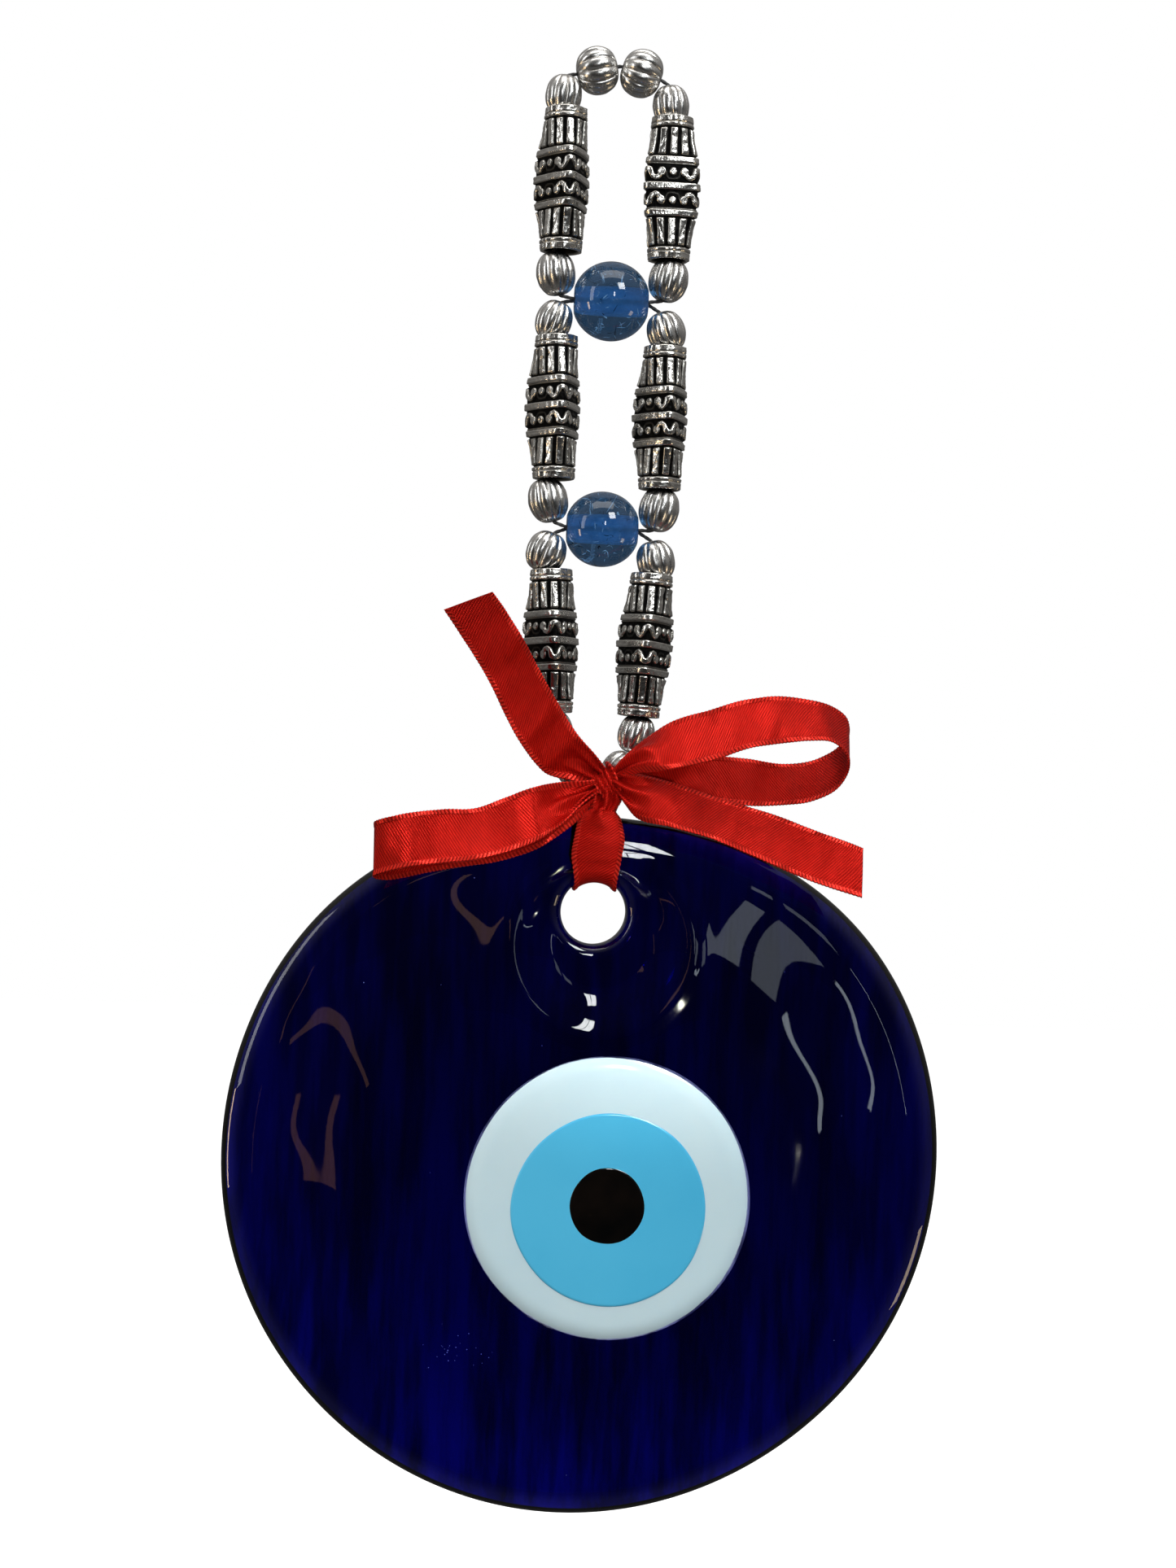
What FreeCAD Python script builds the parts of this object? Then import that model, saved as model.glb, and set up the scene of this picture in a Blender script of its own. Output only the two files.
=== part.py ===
import FreeCAD, Part
import math
import os

# Hanging evil eye ornament: a cast glass disc tied by a satin ribbon to a two-strand beaded hanger.
#
# Frame: millimetres, +Z up, the ornament hanging in the XZ plane, its front towards -Y.
# The origin is the hanging point, where the thread runs over a nail or hook between the two topmost beads.

# ---- driving dimensions (mm) ----
THREAD_R = 0.35         # waxed thread, 0.7 mm across
THREAD_BEND = 0.9       # tightest bend of the thread as it turns from one bead to the next
THREAD_APART = 0.6      # the two passes of thread in a blue bead lie this far each side of its axis
BORE_OFF = 0.35         # and this far off the bore of the round bead next to it
RIBBON_W = 10.0         # satin ribbon width
RIBBON_T = 0.4          # ribbon thickness with its fold

MELON_POLE_R = 1.5      # fluted round metal beads: flat at each end of the bore, and the bore
MELON_BORE_R = 1.0

TUBE_HALF = 13.2        # long three-sided metal beads
TUBE_SWEPT_R = 5.85     # how far their corners reach from the bore
TUBE_BORE_R = 1.7
TUBE_MOUTH_R = 3.4      # their hollow ends, which the round beads sit in
TUBE_MOUTH_DEPTH = 2.1
TUBE_SECTIONS = [       # height, flat of each face between its rounded corners, corner radius, bulge of the face
    (-13.2, 1.2, 3.15, 0.36), (-11.3, 1.4, 3.25, 0.35), (-8.3, 3.6, 2.35, 0.4), (-5.6, 6.4, 1.5, 0.3), (-2.8, 7.8, 1.25, 0.3),
    (0.0, 8.0, 1.2, 0.35),
    (2.8, 7.8, 1.25, 0.3), (5.6, 6.4, 1.5, 0.3), (8.3, 3.6, 2.35, 0.4), (11.3, 1.4, 3.25, 0.35), (13.2, 1.2, 3.15, 0.36)]
TUBE_FACE_ANGLE = {     # degrees the front face of each is turned to the right of straight ahead
    "tube_upper_left": -51, "tube_upper_right": 3, "tube_middle_left": -49,
    "tube_middle_right": -50, "tube_lower_left": -56, "tube_lower_right": -61}

CROSS_POLE_R = 2.6      # blue crackle-glass beads: flat at each end of the bore, and the wide bore two threads pass through
CROSS_BORE_R = 1.85

DISC_T = 9.0            # thickness of the cast disc
DISC_C = (-0.04, -204.36)
OUTLINE = [65.936, -0.347, 0.858, 0.89, 0.287, 0.147, 0.623, -0.314, 0.087, -0.082, -0.209, 0.027, -0.02]
                        # its hand-poured outline: mean radius, then cosine and sine terms
DISC_SECTIONS = [       # depth, and how far the outline draws in there
    (4.5, 4.6), (4.0, 2.6), (3.0, 1.0), (1.6, 0.15), (0.2, 0.0), (-1.2, 0.35), (-2.6, 1.5), (-3.7, 3.4), (-4.5, 7.0)]
HOLE_C = (0.37, -157.35)
HOLE_R = 6.1            # throat of the punched hole
LIP_R = 2.2             # rounding of its lips
DISH_C = (1.93, -163.36)
DISH_R = 15.0           # the round dish pressed in the front, around and below the hole
DISH_DEPTH = 1.6

WHITE_C, WHITE_R = (4.38, -209.82), 26.3
BLUE_C, BLUE_R = (4.76, -211.93), 17.85
PUPIL_C, PUPIL_R = (4.43, -211.18), 7.0

KNOT_SEMI = (4.0, 3.25)  # half its width, half its height and depth
KNOT_Y = -2.7

# Ribbon inside the hole: depth, distance from the hole's axis; and how much it arches to the round wall there.
RING_IN_HOLE = [(-5.3, 10.6, 0.0), (-5.07, 8.3, 0.6), (-4.86, 7.25, 0.9), (-4.26, 6.35, 1.0), (-3.36, 5.75, 1.0),
                (-2.3, 5.53, 1.0), (0.0, 5.53, 1.0), (2.3, 5.53, 1.0), (3.36, 5.75, 1.0), (4.26, 6.35, 1.0),
                (4.86, 7.25, 0.9), (5.07, 8.3, 0.6), (5.3, 10.6, 0.0)]

# Each bead: name, kind, centre (x, z), direction of its bore (x, z) down the strand, radius, half length along the bore.
BEADS = [
    ("bead_apex_left", "round", (-4.05, -0.95), (-0.9752, -0.2213), 4.5, 3.8),
    ("bead_apex_right", "round", (4.25, -1.1), (0.9586, -0.2846), 4.5, 3.8),
    ("bead_upper_left_1", "round", (-10.15, -5.85), (-0.1144, -0.9934), 3.4, 3.7),
    ("tube_upper_left", "tube", (-9.59, -21.69), (-0.007, -1.0), TUBE_SWEPT_R, TUBE_HALF),
    ("bead_upper_left_2", "round", (-10.5, -39.05), (0.1497, -0.9887), 3.7, 4.0),
    ("bead_upper_right_1", "round", (9.9, -6.9), (0.1196, -0.9928), 3.4, 3.7),
    ("tube_upper_right", "tube", (10.3, -22.55), (0.003, -1.0), TUBE_SWEPT_R, TUBE_HALF),
    ("bead_upper_right_2", "round", (10.5, -39.4), (-0.201, -0.9796), 3.7, 4.0),
    ("cross_bead_upper", "blue", (-0.06, -43.81), (1.0, -0.0), 7.35, 6.85),
    ("bead_middle_left_1", "round", (-10.6, -47.9), (-0.3248, -0.9458), 3.4, 3.7),
    ("tube_middle_left", "tube", (-9.78, -64.0), (0.0103, -0.9999), TUBE_SWEPT_R, TUBE_HALF),
    ("bead_middle_left_2", "round", (-10.55, -81.25), (0.2556, -0.9668), 3.75, 4.05),
    ("bead_middle_right_1", "round", (10.42, -49.08), (0.3355, -0.9421), 3.6, 3.75),
    ("tube_middle_right", "tube", (10.27, -65.23), (-0.0097, -1.0), TUBE_SWEPT_R, TUBE_HALF),
    ("bead_middle_right_2", "round", (10.15, -82.2), (-0.2102, -0.9777), 3.75, 4.05),
    ("cross_bead_lower", "blue", (-0.32, -86.27), (1.0, -0.0), 7.0, 6.6),
    ("bead_lower_left_1", "round", (-10.6, -90.9), (-0.3477, -0.9376), 3.7, 3.8),
    ("tube_lower_left", "tube", (-9.02, -107.4), (0.0332, -0.9995), TUBE_SWEPT_R, TUBE_HALF),
    ("bead_lower_left_2", "round", (-8.16, -124.05), (0.2844, -0.9587), 3.7, 3.8),
    ("bead_lower_left_3", "round", (-3.61, -131.03), (0.6502, -0.7597), 3.7, 3.8),
    ("bead_lower_right_1", "round", (9.87, -91.8), (0.2447, -0.9696), 3.6, 3.75),
    ("tube_lower_right", "tube", (8.42, -107.58), (-0.0647, -0.9979), TUBE_SWEPT_R, TUBE_HALF),
    ("bead_lower_right_2", "round", (7.27, -124.16), (-0.2846, -0.9586), 3.45, 3.6),
    ("bead_lower_right_3", "round", (4.65, -131.13), (-0.5169, -0.8561), 3.7, 3.6),
]
BEAD = {row[0]: row[1:] for row in BEADS}

# Ribbon stations along each free piece, from the knot outwards: one edge (x, z), the other edge (x, z),
# the depth of the middle, and how far the ribbon leans (-1 to 1) to keep its full width.
RIBBON_TAIL_LEFT = [
    (1.61, -130.93, -1.03, -133.44, -4.9, 0.0),
    (-0.9, -128.28, -5.14, -132.82, -6.4, 0.5),
    (-4.04, -124.9, -9.57, -131.91, -7.0, 1),
    (-7.24, -120.0, -13.81, -127.5, -7.4, 1),
    (-10.11, -115.55, -16.86, -122.44, -7.7, 1),
    (-13.97, -108.86, -21.39, -113.95, -7.9, 1),
    (-17.81, -102.92, -25.69, -107.58, -8.0, 1),
    (-20.5, -99.37, -29.19, -102.69, -8.0, 1),
]
RIBBON_TAIL_RIGHT = [
    (3.91, -131.46, 3.71, -134.8, -5.0, 0.0),
    (7.86, -131.78, 7.32, -138.32, -8.0, -0.4),
    (15.04, -133.36, 13.73, -139.62, -9.7, -1),
    (21.93, -135.41, 19.86, -141.69, -9.2, -1),
    (27.58, -136.89, 24.94, -144.1, -9.5, -1),
    (33.4, -138.51, 30.33, -146.65, -9.6, -1),
    (39.69, -140.73, 36.63, -149.17, -9.6, -1),
    (45.36, -142.51, 42.92, -151.24, -9.4, -1),
    (49.34, -143.9, 48.73, -152.86, -9.2, -1),
]
RIBBON_LOOP_LEFT = [
    (0.77, -132.77, 0.23, -134.76, -5.0, 0),
    (-2.4, -133.18, -2.72, -137.44, -7.2, -0.3),
    (-7.39, -133.65, -6.24, -140.89, -8.6, -0.6),
    (-11.9, -134.71, -10.38, -144.06, -9.8, -1),
    (-16.84, -136.69, -15.16, -146.19, -10.8, -1),
    (-22.23, -138.84, -21.92, -148.08, -11.6, -1),
    (-27.98, -139.19, -27.65, -148.88, -12.2, -1),
    (-33.71, -139.98, -33.69, -149.68, -12.4, -1),
    (-37.77, -140.88, -37.75, -150.73, -12.0, -1),
    (-39.87, -141.55, -39.7, -151.4, -10.8, -1),
    (-40.46, -142.03, -40.29, -151.87, -9.2, -1),
    (-39.69, -142.45, -39.52, -152.3, -7.8, -1),
    (-37.12, -142.37, -36.94, -152.37, -6.9, -1),
    (-31.7, -141.13, -31.52, -151.13, -6.5, -1),
    (-25.37, -140.01, -24.9, -149.7, -6.4, -1),
    (-18.14, -138.56, -16.91, -148.22, -6.4, -1),
    (-11.83, -136.83, -9.73, -145.25, -6.3, -1),
    (-6.14, -134.82, -4.12, -140.82, -5.9, -0.5),
    (-1.03, -133.44, -0.31, -136.75, -4.3, 0),
]
RIBBON_LOOP_RIGHT = [
    (3.86, -130.4, 3.78, -132.37, -5.0, 0),
    (5.77, -128.36, 7.23, -131.04, -7.0, -0.4),
    (9.0, -124.92, 11.61, -130.75, -8.2, -0.8),
    (13.74, -121.58, 15.38, -130.02, -9.4, -1),
    (19.88, -119.56, 21.24, -128.46, -10.4, -1),
    (25.88, -117.54, 26.93, -126.3, -11.2, -1),
    (32.06, -116.58, 32.35, -125.28, -11.8, -1),
    (37.99, -116.99, 37.79, -124.57, -11.8, -1),
    (42.57, -117.9, 41.73, -124.59, -11.0, -1),
    (45.35, -119.47, 44.36, -126.17, -9.2, -1),
    (46.48, -121.56, 45.64, -128.25, -6.8, -1),
    (46.4, -123.68, 45.72, -130.68, -4.4, -1),
    (44.21, -126.18, 43.84, -133.47, -2.6, -1),
    (40.03, -128.14, 39.52, -135.58, -1.8, -1),
    (34.89, -128.76, 34.84, -136.34, -1.6, -1),
    (28.5, -128.06, 28.34, -136.71, -1.9, -1),
    (22.13, -127.82, 21.49, -136.03, -1.4, -1),
    (16.09, -128.63, 15.39, -134.87, -1.6, -0.7),
    (10.39, -130.33, 9.91, -134.29, -3.4, -0.2),
    (5.0, -131.39, 4.7, -133.98, -4.6, 0),
]
HOLE_LEG = [
    (0.63, -137.78, 2.75, -137.86, -3.0),
    (-1.17, -138.45, 3.69, -138.59, -4.5),
    (-3.09, -140.03, 4.57, -140.08, -5.25),
    (-3.88, -143.54, 5.37, -143.54, -5.6),
    (-3.84, -146.87, 5.62, -146.71, -5.6),
]
THREAD_LOW = ((-0.53, -134.94), (2.05, -134.85))
KNOT = (2.02, -133.95)


def vec(x, y, z):
    return FreeCAD.Vector(x, y, z)


# ---------------------------------------------------------------- beads

def oriented(shape, centre_xz, direction_xz):
    """Turn a bead built along +Z so its bore lies along direction, and put it at its centre in the hanging plane."""
    dx, dz = direction_xz
    if dz < 0 and abs(dz) > abs(dx):
        dx, dz = -dx, -dz
    rot = FreeCAD.Rotation(vec(0, 0, 1), vec(dx, 0, dz))
    out = shape.copy()
    out.Placement = FreeCAD.Placement(vec(centre_xz[0], 0, centre_xz[1]), rot).multiply(out.Placement)
    return out


def barrel(r_max, half, r_pole, bore):
    """A barrel turned about Z: a convex flank between two small flat poles, with a straight bore."""
    lip = 0.45
    p = [vec(bore, 0, half - lip), vec(r_pole, 0, half), vec(r_max, 0, 0), vec(r_pole, 0, -half), vec(bore, 0, -half + lip)]
    edges = [
        Part.LineSegment(p[0], p[1]).toShape(),
        Part.Arc(p[1], p[2], p[3]).toBSpline().toShape(),
        Part.LineSegment(p[3], p[4]).toShape(),
        Part.LineSegment(p[4], p[0]).toShape(),
    ]
    return Part.Face(Part.Wire(edges)).revolve(vec(0, 0, 0), vec(0, 0, 1), 360)


def rounded_triangle(flat, rho, bulge, z):
    """Closed wire: an equilateral triangle of side flat, grown outwards by rho, its faces bulged. A corner points along +X."""
    pts = []
    circum = flat / math.sqrt(3)
    face = flat / (2 * math.sqrt(3)) + rho + bulge
    for k in range(3):
        a = math.radians(120 * k)
        cx, cy = circum * math.cos(a), circum * math.sin(a)
        for deg in (-50, -25, 0, 25, 50):
            t = a + math.radians(deg)
            pts.append(vec(cx + rho * math.cos(t), cy + rho * math.sin(t), z))
        t = a + math.radians(60)
        pts.append(vec(face * math.cos(t), face * math.sin(t), z))
    curve = Part.BSplineCurve()
    curve.interpolate(pts, PeriodicFlag=True)
    return Part.Wire([curve.toShape()])


def tube_bead(face_angle):
    """The long cast bead: three flattened faces, a swollen waist, and hollow ends that the round beads sit in."""
    wires = []
    for z, flat, rho, bulge in TUBE_SECTIONS:
        wires.append(rounded_triangle(flat, rho, bulge, z))
    body = Part.makeLoft(wires, True, False)
    body = body.cut(Part.makeCylinder(TUBE_BORE_R, 2 * TUBE_HALF + 2, vec(0, 0, -TUBE_HALF - 1)))
    # The mouths are bowls: a ball of this radius, set so the bowl is as wide and as deep as it should be.
    ball = (TUBE_MOUTH_R ** 2 + TUBE_MOUTH_DEPTH ** 2) / (2 * TUBE_MOUTH_DEPTH)
    for sign in (1, -1):
        body = body.cut(Part.makeSphere(ball, vec(0, 0, sign * (TUBE_HALF - TUBE_MOUTH_DEPTH + ball))))
    # A face's middle, not a corner, is the zero of face_angle, and the front of the ornament is -Y.
    body.rotate(vec(0, 0, 0), vec(0, 0, 1), -90 + 60 + face_angle)
    return body


# ---------------------------------------------------------------- thread

def filleted_path(points, radius):
    """Straight runs joined by tangent arcs."""
    edges = []
    start = points[0]
    for i in range(1, len(points) - 1):
        a, p, b = points[i - 1], points[i], points[i + 1]
        u = (a - p); v = (b - p)
        lu, lv = u.Length, v.Length
        u = u * (1 / lu); v = v * (1 / lv)
        turn = math.pi - math.acos(max(-1, min(1, u.dot(v))))
        if turn < math.radians(0.3):
            continue
        reach = min(radius * math.tan(turn / 2), 0.45 * min(lu, lv))
        r = reach / math.tan(turn / 2)
        bis = (u + v); bis = bis * (1 / bis.Length)
        centre = p + bis * (r / math.cos(turn / 2))
        p1, p2, mid = p + u * reach, p + v * reach, centre - bis * r
        edges.append(Part.LineSegment(start, p1).toShape())
        edges.append(Part.Arc(p1, mid, p2).toShape())
        start = p2
    edges.append(Part.LineSegment(start, points[-1]).toShape())
    return Part.Wire(edges)


def thread(points, radius=THREAD_R, bend=THREAD_BEND):
    path = filleted_path(points, bend)
    d = points[1] - points[0]
    profile = Part.Wire([Part.Circle(points[0], d, radius).toShape()])
    body = path.makePipeShell([profile], True, False)
    print("thread length mm", round(path.Length, 1), "volume ratio", round(body.Volume / (math.pi * radius ** 2 * path.Length), 4))
    return body


def poles(name, half):
    """The two ends of a bead's bore, first the one nearer the top of the strand."""
    kind, c, d, r, h = BEAD[name]
    return [vec(c[0] - d[0] * half, 0, c[1] - d[1] * half), vec(c[0] + d[0] * half, 0, c[1] + d[1] * half)]


def strand(names, down=True, first_y=0.0, last_y=0.0):
    """Bore ends of a run of beads in order. The first and last point may lie off the bore's axis by first_y, last_y."""
    pts = []
    for n in names:
        reach = TUBE_HALF - 3.0 if BEAD[n][0] == "tube" else BEAD[n][4] + 0.1
        pq = poles(n, reach)
        pts += pq if down else pq[::-1]
    pts[0] = pts[0] + vec(0, first_y, 0)
    pts[-1] = pts[-1] + vec(0, last_y, 0)
    return pts


# ---------------------------------------------------------------- ribbon

def ribbon_rows(stations, sub=2):
    """Rows of points across the ribbon, from its edge stations, smoothed along the ribbon."""
    rows = []
    raw = []
    for tx, tz, bx, bz, ym, tilt in stations:
        chord = math.hypot(tx - bx, tz - bz)
        dy = math.sqrt(max(RIBBON_W ** 2 - chord ** 2, 0.0)) * tilt
        raw.append((vec(tx, ym - dy / 2, tz), vec(bx, ym + dy / 2, bz)))

    def cr(p0, p1, p2, p3, t):
        return (p1 * 2 + (p2 - p0) * t + (p0 * 2 - p1 * 5 + p2 * 4 - p3) * t * t + (p1 * 3 - p0 - p2 * 3 + p3) * t * t * t) * 0.5

    n = len(raw)
    for i in range(n - 1):
        a, b, c, d = raw[max(i - 1, 0)], raw[i], raw[i + 1], raw[min(i + 2, n - 1)]
        for k in range(sub):
            t = k / sub
            rows.append([cr(a[0], b[0], c[0], d[0], t), cr(a[1], b[1], c[1], d[1], t)])
    rows.append([raw[-1][0], raw[-1][1]])
    out = []
    for p, q in rows:
        out.append([p, (p + q) * 0.5, q])
    return out


def sheet_solid(rows, thick, closed=False):
    """A thin closed solid round a grid of points: planar triangles on both faces and along the rim."""
    n, m = len(rows), len(rows[0])
    normals = []
    for i in range(n):
        row = []
        for j in range(m):
            if closed:
                a, b = rows[(i - 1) % n][j], rows[(i + 1) % n][j]
            else:
                a, b = rows[max(i - 1, 0)][j], rows[min(i + 1, n - 1)][j]
            c, d = rows[i][max(j - 1, 0)], rows[i][min(j + 1, m - 1)]
            w = (b - a).cross(d - c)
            w.normalize()
            row.append(w)
        normals.append(row)
    up = [[rows[i][j] + normals[i][j] * (thick / 2) for j in range(m)] for i in range(n)]
    dn = [[rows[i][j] - normals[i][j] * (thick / 2) for j in range(m)] for i in range(n)]
    faces = []

    def tri(a, b, c):
        faces.append(Part.Face(Part.makePolygon([a, b, c, a])))

    def quad(a, b, c, d):
        tri(a, b, c)
        tri(a, c, d)

    last = n if closed else n - 1
    for i in range(last):
        k = (i + 1) % n
        for j in range(m - 1):
            quad(up[i][j], up[k][j], up[k][j + 1], up[i][j + 1])
            quad(dn[i][j], dn[i][j + 1], dn[k][j + 1], dn[k][j])
        quad(up[i][0], dn[i][0], dn[k][0], up[k][0])
        quad(up[i][m - 1], up[k][m - 1], dn[k][m - 1], dn[i][m - 1])
    if not closed:
        for i in (0, n - 1):
            for j in range(m - 1):
                quad(up[i][j], up[i][j + 1], dn[i][j + 1], dn[i][j])
    shell = Part.Shell(faces)
    shell.sewShape()
    solid = Part.Solid(Part.Shell(shell.Faces))
    if solid.Volume < 0:
        solid.reverse()
    return solid


def knot_solid(around=28, along=15):
    """An egg-shaped lump, hollowed where the two lowest beads press into it: planar triangles seen from its middle."""
    middle = vec(KNOT[0], KNOT_Y, KNOT[1])
    balls = []
    for n in ("bead_lower_left_3", "bead_lower_right_3"):
        kind, c, d, r, half = BEAD[n]
        balls.append((vec(c[0], 0, c[1]), max(r, half) + 0.35))

    def reach(u):
        r = 1.0 / math.sqrt((u.x / KNOT_SEMI[0]) ** 2 + (u.y / KNOT_SEMI[1]) ** 2 + (u.z / KNOT_SEMI[1]) ** 2)
        for c, ball in balls:
            w = c - middle
            b = w.dot(u)
            disc = b * b - w.dot(w) + ball * ball
            if b > 0 and disc > 0:
                r = min(r, b - math.sqrt(disc))
        return middle + u * max(r, 0.4)

    rings = []
    for i in range(1, along):
        t = math.pi * i / along
        rings.append([reach(vec(math.cos(t), math.sin(t) * math.cos(2 * math.pi * k / around), math.sin(t) * math.sin(2 * math.pi * k / around))) for k in range(around)])
    ends = [reach(vec(1, 0, 0)), reach(vec(-1, 0, 0))]
    faces = []

    def tri(a, b, c):
        faces.append(Part.Face(Part.makePolygon([a, b, c, a])))

    for k in range(around):
        n = (k + 1) % around
        tri(ends[0], rings[0][k], rings[0][n])
        tri(ends[1], rings[-1][n], rings[-1][k])
        for i in range(len(rings) - 1):
            tri(rings[i][k], rings[i + 1][k], rings[i + 1][n])
            tri(rings[i][k], rings[i + 1][n], rings[i][n])
    shell = Part.Shell(faces)
    shell.sewShape()
    solid = Part.Solid(Part.Shell(shell.Faces))
    if solid.Volume < 0:
        solid.reverse()
    return solid


def hole_ring_rows():
    """The ribbon that carries the disc: down the front, through the hole against its upper wall, and up the back."""
    cx, cz = HOLE_C
    half = 4.65
    across = [-1.0, -0.5, 0.0, 0.5, 1.0]
    rows = []
    front = []
    for lx, lz, rx, rz, y in HOLE_LEG:
        front.append([vec(lx + (rx - lx) * (a + 1) / 2, y, lz + (rz - lz) * (a + 1) / 2) for a in across])
    rows += front
    for y, rho, mix in RING_IN_HOLE:
        row = []
        for a in across:
            x = a * half
            flat = cz + rho
            arch = cz + math.sqrt(max(rho ** 2 - x ** 2, 0.01))
            row.append(vec(cx + x, y, flat * (1 - mix) + arch * mix))
        rows.append(row)
    for row in front[::-1]:
        rows.append([vec(p.x, -p.y, p.z) for p in row])
    return rows


# ---------------------------------------------------------------- glass

def outline_r(theta):
    r = OUTLINE[0]
    for h in range(1, 7):
        r += OUTLINE[2 * h - 1] * math.cos(h * theta) + OUTLINE[2 * h] * math.sin(h * theta)
    return r


def outline_wire(inset, y, n=36):
    pts = []
    for i in range(n):
        t = -2 * math.pi * i / n
        r = outline_r(t) - inset
        pts.append(vec(DISC_C[0] + r * math.cos(t), y, DISC_C[1] + r * math.sin(t)))
    curve = Part.BSplineCurve()
    curve.interpolate(pts, PeriodicFlag=True)
    return Part.Wire([curve.toShape()])


def turned_y(profile, centre):
    """A solid turned about the axis along Y through centre, from (radius, y) points and optional arcs."""
    edges = []
    for item in profile:
        pts = [vec(centre[0] + r, y, centre[1]) for r, y in item]
        edges.append(Part.LineSegment(*pts).toShape() if len(pts) == 2 else Part.Arc(*pts).toShape())
    return Part.Face(Part.Wire(edges)).revolve(vec(centre[0], 0, centre[1]), vec(0, 1, 0), 360)


def lens(centre, radius, y_face, y_edge, y_back):
    """One poured glass layer: a flat back, a rolled edge and a gently domed front."""
    e = 0.8
    ya = y_face + 0.35 * (y_edge - y_face)
    return turned_y([
        [(0, y_back), (0, y_face)],
        [(0, y_face), (radius * 0.55, y_face + 0.3 * (ya - y_face)), (radius - e, ya)],
        [(radius - e, ya), (radius - 0.25 * e, ya + 0.35 * (y_edge - ya)), (radius, y_edge)],
        [(radius, y_edge), (radius - 0.5, y_back)],
        [(radius - 0.5, y_back), (0, y_back)],
    ], centre)


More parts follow.
